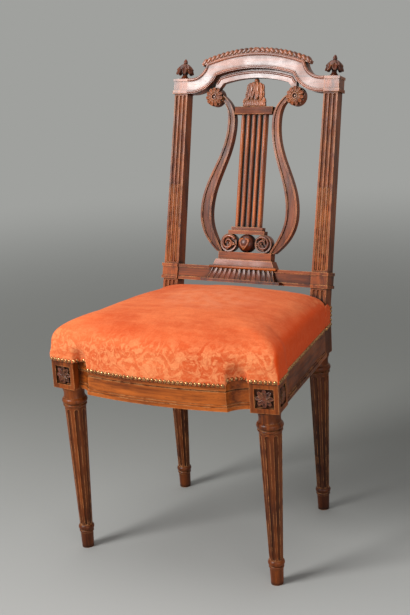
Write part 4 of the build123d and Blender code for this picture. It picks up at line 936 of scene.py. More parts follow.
def seat_cushion():
    """Overstuffed seat: lofted rings, blown up by a cloth simulation, and eased round the posts."""
    build = bmesh.new()
    rings = []
    for number, row in enumerate(cushion_rows()):
        places = [clear_of_posts(Vector(point)) for point in row]
        if number >= SKIRT_ROWS:
            places = [lumpy(place) for place in places]
        rings.append([build.verts.new(place) for place in places])
    around = len(rings[0])
    for low, high in zip(rings, rings[1:]):
        for n in range(around):
            after = (n + 1) % around
            build.faces.new((low[n], low[after], high[after], high[n]))
    ends = [build.faces.new(list(reversed(rings[0]))), build.faces.new(rings[-1])]
    bmesh.ops.triangulate(build, faces=ends, ngon_method="BEAUTY")
    cushion = piece_from(build, "velvet_seat")
    blow_up(cushion)
    for vertex in cushion.data.vertices:
        vertex.co = clear_of_posts(vertex.co)
    subdivide_smooth(cushion, 1)
    smooth_shading(cushion, 60)
    finish_piece(cushion, VELVET, ["seat_cover", "seat_stuffing"])


seat_cushion()


# Webbing and base cloth

STRIP_WIDTH = 0.050
STRIP_EDGES = (-0.5, -0.17, 0.17, 0.5)
STRIP_PITCH = 0.078
LONG_STRIPS, CROSS_STRIPS = 4, 3
STRIP_THICKNESS = 0.0012
STRIP_LIFT = 0.0015
STRIP_MIDDLE = RAIL_TOP + STRIP_LIFT
STRIP_WAVE = 0.00075
STRIP_STEPS = 60
CLOTH_LEVEL = 0.3995
CLOTH_THICKNESS = 0.0008
CLOTH_INSET = 0.006
CLOTH_SHARES = (0.12, 0.3, 0.5, 0.7, 0.85, 1.0)
RIPPLE_SCALE, RIPPLE_HEIGHT = 18.0, 0.0001


def web_wave(along, crossings, first):
    """Height of a strip that goes over and under the strips it crosses, and lies low at its ends."""
    stops = [crossings[0] - STRIP_PITCH] + crossings + [crossings[-1] + STRIP_PITCH]
    signs = [-1] + [first * (-1) ** n for n in range(len(crossings))] + [-1]
    if along <= stops[0] or along >= stops[-1]:
        return STRIP_MIDDLE - STRIP_WAVE
    for low, high, start, end in zip(stops, stops[1:], signs, signs[1:]):
        if low <= along <= high:
            share = (1 - cos(pi * (along - low) / (high - low))) / 2
            return STRIP_MIDDLE + STRIP_WAVE * (start + (end - start) * share)


def web_strips(name, node, strips, lengthwise):
    """Strips of webbing as one piece: each has a middle, two ends, its crossings and its first side."""
    build = bmesh.new()
    for middle, low, high, crossings, first in strips:
        rows = []
        for step in range(STRIP_STEPS + 1):
            along = low + (high - low) * step / STRIP_STEPS
            level = web_wave(along, crossings, first)
            places = [(middle + edge * STRIP_WIDTH, along) for edge in STRIP_EDGES]
            if not lengthwise:
                places = [place[::-1] for place in places]
            rows.append([build.verts.new((*place, level)) for place in places])
        for low_row, high_row in zip(rows, rows[1:]):
            for n in range(len(STRIP_EDGES) - 1):
                build.faces.new((low_row[n], low_row[n + 1], high_row[n + 1], high_row[n]))
    bmesh.ops.recalc_face_normals(build, faces=build.faces)
    piece = piece_from(build, name)
    thicken(piece, STRIP_THICKNESS)
    finish_piece(piece, JUTE, [node])


def webbing():
    """Webbing woven over and under across the seat frame."""
    low, high = (Vector(corner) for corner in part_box("webbing_lengthwise"))
    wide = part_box("webbing_crosswise")[1][0]
    middle = (low.y + high.y) / 2
    columns = [STRIP_PITCH * (n - (LONG_STRIPS - 1) / 2) for n in range(LONG_STRIPS)]
    rows = [middle + STRIP_PITCH * (n - (CROSS_STRIPS - 1) / 2) for n in range(CROSS_STRIPS)]
    long_strips = [(x, low.y, high.y, rows, 1 if n % 2 else -1) for n, x in enumerate(columns)]
    web_strips("webbing_long_strips", "webbing_lengthwise", long_strips, True)
    cross_strips = []
    for n, y in enumerate(rows):
        reach = wide - (y - rows[0]) * tan(SPLAY)
        cross_strips.append((y, -reach, reach, columns, -1 if n % 2 else 1))
    web_strips("webbing_cross_strips", "webbing_crosswise", cross_strips, False)


def base_cloth():
    """Hessian stretched over the webbing."""
    outline = seat_outline(1, -CLOTH_INSET)
    build = bmesh.new()
    rings = []
    for share in CLOTH_SHARES:
        ring = []
        for place in drawn_in(outline, share):
            ripple = noise.noise(Vector((*place, 0)) * RIPPLE_SCALE) * RIPPLE_HEIGHT
            ring.append(build.verts.new((*place, CLOTH_LEVEL + ripple)))
        rings.append(ring)
    around = len(outline)
    for inner, outer in zip(rings, rings[1:]):
        for n in range(around):
            after = (n + 1) % around
            build.faces.new((inner[n], outer[n], outer[after], inner[after]))
    middle = build.faces.new(rings[0])
    bmesh.ops.triangulate(build, faces=[middle], ngon_method="BEAUTY")
    bmesh.ops.recalc_face_normals(build, faces=build.faces)
    area = sum(face.calc_area() for face in build.faces)
    piece = piece_from(build, "base_cloth_hessian")
    thicken(piece, CLOTH_THICKNESS)
    finish_piece(piece, HESSIAN, ["base_cloth"])


webbing()
base_cloth()


# Carving: shaped units, stamped and joined

STAND = Matrix.Rotation(-pi / 2, 4, "X")
TINY = 1e-5
TIP_START = 0.7
GAP_SHARE = 0.02
BAR_ROUNDNESS = 3


def select_where(piece, test):
    """Go to edit mode with the vertices selected whose place passes a test."""
    make_active(piece)
    bpy.ops.object.mode_set(mode="EDIT")
    bpy.ops.mesh.select_mode(type="VERT")
    bpy.ops.mesh.select_all(action="DESELECT")
    bpy.ops.object.mode_set(mode="OBJECT")
    for vertex in piece.data.vertices:
        vertex.select = test(vertex.co)
    bpy.ops.object.mode_set(mode="EDIT")


def resize_where(piece, test, factors, centre):
    """Resize the vertices that pass a test, about a centre."""
    select_where(piece, test)
    bpy.ops.transform.resize(value=factors, center_override=centre)
    bpy.ops.object.mode_set(mode="OBJECT")


def shift_where(piece, test, offset):
    """Move the vertices that pass a test."""
    select_where(piece, test)
    bpy.ops.transform.translate(value=offset)
    bpy.ops.object.mode_set(mode="OBJECT")


def rounded_block(name, size, cuts=1):
    """Cube of a size, cut evenly so that it can be shaped and rounded, with its middle at the origin."""
    piece = primitive(name, bpy.ops.mesh.primitive_cube_add, size=1.0)
    bpy.ops.object.mode_set(mode="EDIT")
    bpy.ops.mesh.select_all(action="SELECT")
    bpy.ops.mesh.subdivide(number_cuts=cuts)
    bpy.ops.transform.resize(value=size, center_override=(0, 0, 0))
    bpy.ops.object.mode_set(mode="OBJECT")
    return piece


def tapered_block(name, size, factors):
    """Block that stands on its root along Y, with even rows widened or narrowed by factors."""
    length = size[1]
    steps = len(factors) - 1
    piece = rounded_block(name, size, cuts=steps - 1)
    set_place(piece, move(0, length / 2, 0))
    for row, factor in enumerate(factors):
        level = length * row / steps
        resize_where(piece, lambda p: abs(p.y - level) < TINY, (factor, 1, 1), (0, level, 0))
    return piece


def leaf(name, length, widths, thickness, hollow=0.0, curl=0.0):
    """Plump leaf from its root along Y, with its widths, a hollow down its middle and a lifted tip."""
    widest = max(widths)
    piece = tapered_block(name, (widest, length, thickness), [width / widest for width in widths])
    shift_where(piece, lambda p: abs(p.x) < TINY and p.z > thickness / 2 - TINY, (0, 0, -hollow))
    shift_where(piece, lambda p: p.y > length * TIP_START, (0, 0, curl))
    subdivide_smooth(piece, 1)
    smooth_shading(piece, 70)
    return piece


def lathe(name, profile, segments):
    """Turned piece about Z, from points of radius and height."""
    radius, height = profile[0]
    piece = primitive(name, bpy.ops.mesh.primitive_circle_add, vertices=segments, radius=radius,
                      fill_type="NGON", location=(0, 0, height))
    bpy.ops.object.mode_set(mode="EDIT")
    bpy.ops.mesh.select_all(action="SELECT")
    for next_radius, next_height in profile[1:]:
        bpy.ops.mesh.extrude_region_move(TRANSFORM_OT_translate={"value": (0, 0, next_height - height)})
        factor = next_radius / radius
        bpy.ops.transform.resize(value=(factor, factor, 1), center_override=(0, 0, next_height))
        radius, height = next_radius, next_height
    bpy.ops.mesh.select_all(action="SELECT")
    bpy.ops.mesh.normals_make_consistent(inside=False)
    bpy.ops.object.mode_set(mode="OBJECT")
    return piece


def round_bar(name, kind, points, thick, radii=()):
    """Round bar along a line of points, as a closed mesh; radii make it thinner point by point."""
    curve = bpy.data.curves.new(name, "CURVE")
    curve.dimensions = "3D"
    curve.bevel_depth = thick
    curve.bevel_resolution = BAR_ROUNDNESS
    curve.use_fill_caps = True
    spline = curve.splines.new(kind)
    spline.points.add(len(points) - 1)
    for point, place in zip(spline.points, points):
        point.co = (*place, 1)
    for point, radius in zip(spline.points, radii):
        point.radius = radius
    if kind == "NURBS":
        spline.order_u = 4
        spline.use_endpoint_u = True
    holder = bpy.data.objects.new(name, curve)
    bpy.context.scene.collection.objects.link(holder)
    make_active(holder)
    bpy.ops.object.convert(target="MESH")
    bar = bpy.context.object
    recalculate(bar)
    return bar


def in_gap(place, lobes):
    """True on the meridians between the lobes of a turned piece."""
    turn = atan2(place.y, place.x) / (2 * pi) * lobes
    return abs(turn - round(turn)) < GAP_SHARE


def circle_of(unit, count, radius, first=0.0, lift=0.0):
    """Copies of a unit round Z, each with its root at a radius and growing outwards."""
    turns = [first + 2 * pi * n / count for n in range(count)]
    return [stamp(unit, spin(turn) @ move(0, radius, lift)) for turn in turns]


# Rope moulding: the first strand and the free ends are counted in pitches of the strands
ROPE_FRONT, ROPE_DEPTH = 0.0020, 0.0170
ROPE_BED, ROPE_BED_INSET = 0.0060, 0.003
ROPE_BED_STEPS = 48
ROPE_STRANDS = 12
ROPE_LEAN = 0.92
ROPE_START, ROPE_FREE = 0.55, 0.2
STRAND_WIDTH, STRAND_LENGTH, STRAND_SINK = 0.0078, 0.0160, 0.0010


def rope_bed(turn, middle):
    """Bed of the rope moulding: a flat section, spun along the arch."""
    bed = primitive("rope_bed", bpy.ops.mesh.primitive_plane_add, size=1.0, rotation=(0, pi / 2, 0))
    set_place(bed, Matrix.Diagonal((1, ROPE_BED, ROPE_DEPTH - ROPE_BED_INSET, 1)))
    set_place(bed, spin(turn) @ move(0, ARCH_RADIUS + ROPE_BED / 2, middle))
    bpy.ops.object.mode_set(mode="EDIT")
    bpy.ops.mesh.select_all(action="SELECT")
    bpy.ops.mesh.spin(steps=ROPE_BED_STEPS, angle=2 * turn, center=(0, 0, 0), axis=(0, 0, 1))
    bpy.ops.object.mode_set(mode="OBJECT")
    recalculate(bed)
    return bed


def crest_rope():
    """Rope moulding on the arch: a bed and leaning strands, mirrored about the middle."""
    turn = asin(ROPE_HALF / ARCH_RADIUS)
    middle = ROPE_FRONT - ROPE_DEPTH / 2
    pieces = [rope_bed(turn, middle)]
    strand = rounded_block("rope_strand", (STRAND_WIDTH, STRAND_LENGTH, ROPE_DEPTH))
    subdivide_smooth(strand, 2)
    smooth_shading(strand, 80)
    pitch = turn / (ROPE_STRANDS + ROPE_FREE)
    lift = move(0, ARCH_RADIUS + ROPE_HEIGHT / 2 - STRAND_SINK, middle)
    for side in (-1, 1):
        for n in range(ROPE_STRANDS):
            at = spin(-side * pitch * (n + ROPE_START)) @ lift
            pieces.append(stamp(strand, at @ spin(side * ROPE_LEAN)))
    discard(strand)
    rope = join("crest_rope_carved", pieces)
    set_place(rope, back_place(0, ARCH_TOP - ARCH_RADIUS, 0))
    finish_piece(rope, WOOD_CARVED, ["crest_rope"])


BEAD_RADIUS = 0.0034
BEAD_STEPS = 24
CREST_END = 0.1502
OGEE_X, OGEE_RADIUS = 0.143, 0.036
DOWNWARD = 1.5 * pi

# Each bead: how far below the crest's top edge, how far to the front, and where it ends
BEADS = ((0.0025, 0.0012, CREST_END), (0.0270, 0.0012, CREST_END), (0.0372, -0.0092, 0.0885))


def bead_path(drop, end):
    """Right half of a line drop below the crest's top edge: arch, ogee and a straight run, up to end."""
    arch = Vector((0, ARCH_TOP - ARCH_RADIUS))
    ogee = Vector((OGEE_X, CREST_TOP + OGEE_RADIUS))
    arch_reach = ARCH_RADIUS - drop
    ogee_reach = OGEE_RADIUS + drop
    gap = (ogee - arch).length
    way = (ogee - arch) / gap
    along = (arch_reach**2 - ogee_reach**2 + gap**2) / (2 * gap)
    corner = arch + way * along + Vector((-way.y, way.x)) * sqrt(arch_reach**2 - along**2)
    arch_end = asin(corner.x / arch_reach)
    ogee_start = atan2(corner.y - ogee.y, corner.x - ogee.x) % (2 * pi)
    points = []
    for n in range(BEAD_STEPS):
        turn = arch_end * n / BEAD_STEPS
        points.append(arch + Vector((sin(turn), cos(turn))) * arch_reach)
    for n in range(BEAD_STEPS + 1):
        turn = ogee_start + (DOWNWARD - ogee_start) * n / BEAD_STEPS
        points.append(ogee + Vector((cos(turn), sin(turn))) * ogee_reach)
    points.append(Vector((CREST_END, CREST_TOP - drop)))
    return [point for point in points if point.x <= end]


def crest_beads():
    """Round beads along the crest's upper and lower edges and on the inner arch."""
    beads = []
    for drop, front, end in BEADS:
        right = bead_path(drop, end)
        path = [Vector((-p.x, p.y)) for p in reversed(right[1:])] + right
        beads.append(round_bar("crest_bead", "POLY", [(*p, front) for p in path], BEAD_RADIUS))
    piece = join("crest_edge_beads", beads)
    smooth_shading(piece, 50)
    set_place(piece, back_place(0, 0, 0))
    finish_piece(piece, WOOD_BEAD)


FINIAL_LOBES = 8
BUD_LOBES = 4
BUD_GROOVE, BUD_TIP, BUD_TWIST = 0.72, 0.002, 0.35


def drooping_leaf(unit, turn, radius, height, fall):
    """Copy of a leaf that hangs outwards and down from a point of a turned dome."""
    out = Vector((cos(turn), sin(turn), 0))
    along = out * cos(fall) - Vector((0, 0, sin(fall)))
    face = out * sin(fall) + Vector((0, 0, cos(fall)))
    side = along.cross(face)
    place = Matrix((side, along, face)).transposed().to_4x4()
    return stamp(unit, Matrix.Translation(out * radius + Vector((0, 0, height))) @ place)


def finial_bud():
    """Bud on top of a finial: a turned piece with grooves, twisted ring by ring."""
    rings = [(0.0034, 0.0312), (0.0046, 0.0340), (0.0044, 0.0372), (0.0032, 0.0402), (0.0010, 0.0430)]
    bud = lathe("finial_bud", rings, segments=24)
    resize_where(bud, lambda p: in_gap(p, BUD_LOBES) and p.xy.length > BUD_TIP,
                 (BUD_GROOVE, BUD_GROOVE, 1), (0, 0, 0))
    for number, ring in enumerate(rings):
        height = ring[1]
        select_where(bud, lambda p: abs(p.z - height) < TINY)
        bpy.ops.transform.rotate(value=BUD_TWIST * number, orient_axis="Z", center_override=(0, 0, height))
        bpy.ops.object.mode_set(mode="OBJECT")
    subdivide_smooth(bud, 1)
    return bud


def finial():
    """Finial about Z: turned base and neck, a dome of drooping leaves and a twisted bud."""
    base = lathe("finial_base", [(0.0098, 0.0), (0.0092, 0.0024), (0.0060, 0.0062), (0.0048, 0.0090),
                                 (0.0052, 0.0150)], segments=24)
    dome = lathe("finial_dome", [(0.0050, 0.0150), (0.0120, 0.0148), (0.0142, 0.0165), (0.0136, 0.0205),
                                 (0.0112, 0.0250), (0.0080, 0.0290), (0.0044, 0.0320)], segments=32)
    upper = leaf("finial_leaf", length=0.0170, widths=(0.0036, 0.0080, 0.0104, 0.0094, 0.0050),
                 thickness=0.0044, hollow=0.0012, curl=-0.0004)
    lower = leaf("finial_low_leaf", length=0.0125, widths=(0.0060, 0.0094, 0.0104, 0.0080, 0.0032),
                 thickness=0.0044, hollow=0.0012, curl=0.0008)
    step = 2 * pi / FINIAL_LOBES
    leaves = [drooping_leaf(upper, n * step, radius=0.0044, height=0.0310, fall=0.74)
              for n in range(FINIAL_LOBES)]
    leaves += [drooping_leaf(lower, (n + 0.5) * step, radius=0.0136, height=0.0228, fall=1.40)
               for n in range(FINIAL_LOBES)]
    unit = join("finial_unit", [base, dome, finial_bud()] + leaves)
    smooth_shading(unit, 50)
    discard(upper, lower)
    return unit


def finials():
    """Both finials, on the stiles' tops."""
    unit = finial()
    for name in SIDES:
        low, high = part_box(f"finial_{name}")
        across = (low[0] + high[0]) / 2
        place = back_place(across, CREST_TOP, -STILE_TOP_DEPTH / 2) @ STAND
        piece = stamp(unit, place, f"finial_{name}_carved")
        finish_piece(piece, WOOD_DARK, [f"finial_{name}"])
    discard(unit)


ARM_PETALS = 11
PETAL_ROOT, PETAL_LIFT = 0.0066, 0.0038
EYE_LENGTH, EYE_LIFT = 0.0036, 0.0030


def arm_rosettes():
    """Rosettes of petals round a hollow, on the ends of the lyre's arms."""
    petal = leaf("rosette_petal", length=0.0120, widths=(0.0028, 0.0048, 0.0066, 0.0076, 0.0050),
                 thickness=0.0056, hollow=0.0018, curl=-0.0012)
    disc = lathe("rosette_disc", [(0.0150, 0.0), (0.0160, 0.0018), (0.0130, 0.0034), (0.0072, 0.0038),
                                  (0.0040, 0.0020)], segments=32)
    ring = primitive("rosette_ring", bpy.ops.mesh.primitive_torus_add, major_radius=0.0056,
                     minor_radius=0.0014, major_segments=28, minor_segments=8, location=(0, 0, 0.0052))
    boss = leaf("rosette_eye", length=EYE_LENGTH, widths=(0.0020, 0.0032, 0.0036, 0.0032, 0.0020),
                thickness=0.0030)
    eye = stamp(boss, move(0, -EYE_LENGTH / 2, EYE_LIFT))
    petals = circle_of(petal, ARM_PETALS, PETAL_ROOT, lift=PETAL_LIFT)
    unit = join("rosette_unit", [disc, ring, eye] + petals)
    smooth_shading(unit, 60)
    for name, side in SIDES.items():
        place = back_place(side * ROSETTE_X, ROSETTE_UP, LYRE_FRONT)
        piece = stamp(unit, place, f"lyre_rosette_{name}_carved")
        finish_piece(piece, WOOD_CARVED, [f"lyre_rosette_{name}"])
    discard(unit, petal, boss)


ROUNDEL_PROUD = 0.0025
ROUNDEL_DEPTH = LYRE_DEPTH + ROUNDEL_PROUD
SCROLL_POINTS = 26
SCROLL_START, SCROLL_TURNS = radians(150), 1.45
SCROLL_OUTER, SCROLL_INNER, SCROLL_DRAW = 0.0160, 0.0046, 0.8
SCROLL_THICK, SCROLL_THINNING, SCROLL_RISE = 0.0028, 0.45, 0.0012

# Leaves of a scroll: turn about its middle, root and lean
SCROLL_LEAVES = ((2.3, (0.0020, 0.0010, -0.0014), -0.45), (4.1, (0.0030, -0.0010, -0.0022), -0.55),
                 (0.5, (0.0020, 0.0000, -0.0026), -0.40))


def scroll_ridge():
    """Round ridge on a spiral from the rim inwards, thinner towards the middle."""
    points, radii = [], []
    for n in range(SCROLL_POINTS):
        share = n / (SCROLL_POINTS - 1)
        turn = SCROLL_START - 2 * pi * SCROLL_TURNS * share
        radius = SCROLL_OUTER + (SCROLL_INNER - SCROLL_OUTER) * share**SCROLL_DRAW
        points.append((radius * cos(turn), radius * sin(turn), SCROLL_RISE * share))
        radii.append(1 - SCROLL_THINNING * share)
    return round_bar("scroll_ridge", "NURBS", points, SCROLL_THICK, radii)


def scroll_roundels():
    """Scroll roundels: a drum with a ridge that winds in from the rim, and leaves round the middle."""
    drum = lathe("scroll_drum", [(0.0180, -ROUNDEL_DEPTH), (0.0186, -ROUNDEL_DEPTH + 0.001),
                                 (0.0186, -0.0030), (0.0180, -0.0016), (0.0152, -0.0018),
                                 (0.0140, -0.0046), (0.0040, -0.0050)], segments=48)
    ridge = scroll_ridge()
    comma = leaf("scroll_leaf", length=0.0140, widths=(0.0030, 0.0062, 0.0074, 0.0056, 0.0016),
                 thickness=0.0050, hollow=0.0014, curl=0.0012)
    leaves = [stamp(comma, spin(turn) @ move(*root) @ spin(lean)) for turn, root, lean in SCROLL_LEAVES]
    unit = join("scroll_unit", [drum, ridge] + leaves)
    smooth_shading(unit, 50)
    for name, side in SIDES.items():
        place = back_place(side * ROUNDEL_X, ROUNDEL_UP, LYRE_FRONT + ROUNDEL_DEPTH - LYRE_DEPTH)
        piece = stamp(unit, place @ FLIPS[name], f"lyre_scroll_{name}_carved")
        finish_piece(piece, WOOD_CARVED, [f"lyre_scroll_{name}"])
    discard(unit, comma)


BALL_POLE, BALL_POLE_SHARE = 0.0006, 0.9682
HEART_ROOT = (0, -0.0125, 0.0150)
HEART_TILT, HEART_SPREAD = -0.10, 0.30


def carved_ball():
    """Ball between the roundels, a little flat at its poles, with a heart leaf in relief."""
    ball = primitive("lyre_ball_carved", bpy.ops.mesh.primitive_uv_sphere_add, segments=40, ring_count=20,
                     radius=ROUNDEL_RADIUS, rotation=(pi / 2, 0, 0))
    resize_where(ball, lambda p: abs(p.y) > ROUNDEL_RADIUS - BALL_POLE, (1, BALL_POLE_SHARE, 1), (0, 0, 0))
    smooth_shading(ball, 60)
    place = back_place(0, ROUNDEL_UP, LYRE_FRONT - LYRE_DEPTH / 2)
    set_place(ball, place)
    finish_piece(ball, WOOD_DARK, ["lyre_ball"])
    lobe = leaf("heart_lobe", length=0.0235, widths=(0.0030, 0.0080, 0.0130, 0.0138, 0.0080),
                thickness=0.0080, hollow=0.0010)
    root = place @ move(*HEART_ROOT) @ Matrix.Rotation(HEART_TILT, 4, "X")
    lobes = [stamp(lobe, root @ spin(spread)) for spread in (-HEART_SPREAD, HEART_SPREAD)]
    heart = join("ball_heart_leaf", lobes)
    smooth_shading(heart, 60)
    finish_piece(heart, WOOD_RAIL)
    discard(lobe)


CORE_DROP = 0.0090
CORE_SIZE = (0.034, CROWN_HEIGHT - CORE_DROP, 0.013)
CORE_FACTORS = (1.28, 1.02, 1.0, 0.98, 0.66)
FAN_LEAVES = 9
FAN_HALF, FAN_FOOT, FAN_FRONT, FAN_LEAN = 0.0225, 0.0004, 0.0052, 0.22
CROWN_BALL, CROWN_BALL_DROP, CROWN_BALL_SQUEEZE = 0.0058, 0.0062, 0.92


def hung(x, y, z, lean):
    """Place of a leaf that hangs down from a point and leans by an angle."""
    return move(x, y, z) @ spin(pi + lean)


def crown_fan():
    """Flared fan of leaflets at the crown's foot."""
    leaflet = leaf("crown_leaflet", length=0.0160, widths=(0.0058, 0.0064, 0.0062, 0.0050, 0.0026),
                   thickness=0.0064, hollow=0.0014, curl=-0.0010)
    middle = (FAN_LEAVES - 1) / 2
    fan = []
    for n in range(FAN_LEAVES):
        across = (n - middle) / middle
        fan.append(stamp(leaflet, move(across * FAN_HALF, FAN_FOOT, FAN_FRONT) @ spin(across * FAN_LEAN)))
    discard(leaflet)
    return fan


def crown_leaves():
    """Hanging leaves of the crown and its two almond eyes, mirrored about the middle."""
    blade = leaf("crown_blade", length=0.0350, widths=(0.0050, 0.0088, 0.0098, 0.0080, 0.0034),
                 thickness=0.0064, hollow=0.0020, curl=0.0014)
    lobe = leaf("crown_lobe", length=0.0150, widths=(0.0040, 0.0068, 0.0074, 0.0058, 0.0024),
                thickness=0.0060, hollow=0.0014, curl=0.0014)
    almond = leaf("crown_eye", length=0.0100, widths=(0.0010, 0.0034, 0.0044, 0.0034, 0.0010),
                  thickness=0.0034)
    half = [(blade, hung(0.0036, 0.0490, 0.0066, lean=0.06)),
            (blade, hung(0.0104, 0.0474, 0.0056, lean=0.12)),
            (lobe, hung(0.0148, 0.0450, 0.0040, lean=0.10)),
            (lobe, hung(0.0158, 0.0330, 0.0046, lean=0.18)),
            (lobe, hung(0.0160, 0.0200, 0.0050, lean=0.60)),
            (almond, move(0.0068, 0.0300, 0.0090) @ spin(0.10))]
    leaves = [stamp(unit, flip @ place) for unit, place in half for flip in FLIPS.values()]
    discard(blade, lobe, almond)
    return leaves


def leaf_crown():
    """Leaf crown on the yoke: hanging leaves on a bell, a flared fan at its foot and a ball on top."""
    core = tapered_block("crown_core", CORE_SIZE, CORE_FACTORS)
    subdivide_smooth(core, 1)
    parts = [core] + crown_fan() + crown_leaves()
    ball = primitive("crown_ball", bpy.ops.mesh.primitive_uv_sphere_add, segments=24, ring_count=14,
                     radius=CROWN_BALL, location=(0, CROWN_HEIGHT - CROWN_BALL_DROP, 0),
                     scale=(CROWN_BALL_SQUEEZE, 1, 1))
    piece = join("lyre_crown_carved", parts + [ball])
    smooth_shading(piece, 60)
    set_place(piece, back_place(0, YOKE_TOP, LYRE_FRONT - LYRE_DEPTH / 2))
    finish_piece(piece, WOOD_LEAF, ["lyre_crown"])


FILLET_UP, FILLET_HALF = 0.1000, 0.0745
FILLET_FRONT, FILLET_DEPTH, FILLET_HEIGHT = 0.0062, 0.0140, 0.0052
FILLET_EDGE = 0.0016


def base_fillet():
    """Fillet between the lyre's plinth and the fluted base below it."""
    bar = rounded_block("lyre_base_fillet", (2 * FILLET_HALF, FILLET_HEIGHT, FILLET_DEPTH))
    edge = bar.modifiers.new("edge", "BEVEL")
    edge.width = FILLET_EDGE
    edge.segments = 3
    edge.limit_method = "ANGLE"
    apply_modifiers(bar)
    smooth_shading(bar, 40)
    set_place(bar, back_place(0, FILLET_UP, FILLET_FRONT - FILLET_DEPTH / 2))
    finish_piece(bar, WOOD_RAIL)


BLOCK_PETALS = 8


def block_rosettes():
    """Carved rosettes in the panels of the front blocks, on the front and the outer faces."""
    outer = leaf("block_petal", length=0.0125, widths=(0.0040, 0.0074, 0.0092, 0.0080, 0.0034),
                 thickness=0.0054, hollow=0.0016, curl=-0.0006)
    inner = leaf("block_inner_petal", length=0.0082, widths=(0.0026, 0.0044, 0.0054, 0.0046, 0.0020),
                 thickness=0.0050, hollow=0.0012, curl=0.0004)
    button = lathe("block_button", [(0.0040, 0.0), (0.0042, 0.0042), (0.0030, 0.0056), (0.0012, 0.0050)],
                   segments=20)
    petals = circle_of(outer, BLOCK_PETALS, radius=0.0042, lift=0.0016)
    petals += circle_of(inner, BLOCK_PETALS, radius=0.0030, first=pi / BLOCK_PETALS, lift=0.0030)
    unit = join("block_rosette_unit", [button] + petals)
    smooth_shading(unit, 60)
    half = FRONT_BLOCK / 2 - PANEL_DEPTH
    front_turn = Matrix(((1, 0, 0), (0, 0, -1), (0, 1, 0))).to_4x4()
    side_turn = Matrix(((0, 0, 1), (1, 0, 0), (0, 1, 0))).to_4x4()
    front = FRONT_HEAD @ move(0, -half, PANEL_UP) @ front_turn
    outside = FRONT_HEAD @ move(half, 0, PANEL_UP) @ side_turn
    for name, flip in FLIPS.items():
        piece = join(f"block_rosettes_{name}", [stamp(unit, flip @ front), stamp(unit, flip @ outside)])
        finish_piece(piece, WOOD_DARK)
    discard(unit, outer, inner)


crest_rope()
crest_beads()
finials()
arm_rosettes()
scroll_roundels()
carved_ball()
leaf_crown()
base_fillet()
block_rosettes()


# Laps of the cover round the rear posts, in the turned square of the posts' blocks

REAR_HEAD = Matrix.Translation((REAR_X, REAR_Y, 0)) @ Matrix.Rotation(SPLAY, 4, "Z")
LAP_INNER = 0.0195
LAP_OUTER = SIDE_OUTER + CLOTH_GAP + COVER_THICKNESS
LAP_FRONT, LAP_REAR = -0.0220, 0.0155
LAP_TOP = 0.4325
LAP_SKIRT_TOP = 0.4120
LAP_SKIRT = 0.0011
LAP_TAPER = (0, 0, 0, 0.0010, 0.0028)
NAIL_RADIUS, NAIL_HEIGHT, NAIL_PITCH = 0.0039, 0.0026, 0.0088
NAIL_LEVEL = SKIRT_BOTTOM + NAIL_RADIUS
LAP_NAILS = 5

# Dome of a nail, in shares of its radius and its height
NAIL_PROFILE = ((1.0, -0.15), (1.0, 0.15), (0.86, 0.5), (0.55, 0.85), (0.15, 1.0))


def block_between(name, low, high, cuts):
    """Cut block between two corners."""
    low, high = Vector(low), Vector(high)
    block = rounded_block(name, tuple(high - low), cuts)
    set_place(block, move(*((low + high) / 2)))
    return block


def velvet_lap(name, flip):
    """Lap of the cover on the outer side of a rear post: a pad beside the stile, a skirt on the block."""
    steps = len(LAP_TAPER) - 1
    pad = block_between("lap_pad", (LAP_INNER, LAP_FRONT, SEAT_FLOOR), (LAP_OUTER, LAP_REAR, LAP_TOP),
                        cuts=steps - 1)
    for row, taper in enumerate(LAP_TAPER):
        level = SEAT_FLOOR + (LAP_TOP - SEAT_FLOOR) * row / steps
        shift_where(pad, lambda p: abs(p.z - level) < TINY, (0, (level - RAIL_TOP) * tan(RAKE), 0))
        shift_where(pad, lambda p: abs(p.z - level) < TINY and p.x > LAP_OUTER - TINY, (-taper, 0, 0))
    subdivide_smooth(pad, 2)
    skirt = block_between("lap_skirt", (LAP_OUTER - LAP_SKIRT, LAP_FRONT, SKIRT_BOTTOM),
                          (LAP_OUTER, LAP_REAR, LAP_SKIRT_TOP), cuts=1)
    lap = join(f"velvet_lap_{name}", [pad, skirt])
    smooth_shading(lap, 50)
    set_place(lap, flip @ REAR_HEAD)
    if flip.determinant() < 0:
        recalculate(lap)
    finish_piece(lap, VELVET)
    return lap


def lap_nails(laps):
    """Rows of nails along the lower and rear edges of the laps."""
    profile = [(NAIL_RADIUS * out, NAIL_HEIGHT * up) for out, up in NAIL_PROFILE]
    dome = lathe("nail_dome", profile, segments=14)
    rear = LAP_REAR - NAIL_RADIUS
    spots = [(rear - NAIL_PITCH * n, NAIL_LEVEL) for n in range(1, LAP_NAILS)]
    for n in range(LAP_NAILS):
        level = NAIL_LEVEL + NAIL_PITCH * n
        spots.append((rear + max(0.0, level - RAIL_TOP) * tan(RAKE), level))
    heads = []
    for name, lap in laps.items():
        for along, level in spots:
            aim = FLIPS[name] @ REAR_HEAD @ Vector((2 * LAP_OUTER, along, level))
            place, normal = lap.closest_point_on_mesh(aim)[1:3]
            turn = normal.to_track_quat("Z", "Y").to_matrix().to_4x4()
            heads.append(stamp(dome, Matrix.Translation(place) @ turn))
    piece = join("lap_nails", heads)
    smooth_shading(piece, 50)
    finish_piece(piece, BRASS)
    discard(dome)


lap_nails({name: velvet_lap(name, flip) for name, flip in FLIPS.items()})


# Studio

FLOOR_RADIUS = 30.0
# Painted shade on the floor: darker to the left and to the back
FLOOR_ACROSS, FLOOR_ALONG = (-0.6, 0.3), (-0.5, 0.7)
HAZE_REACH = (0.9, 4.2)
SKY_STRENGTH = 0.34
LIGHT_AIM = Vector((0, 0, 0.45))

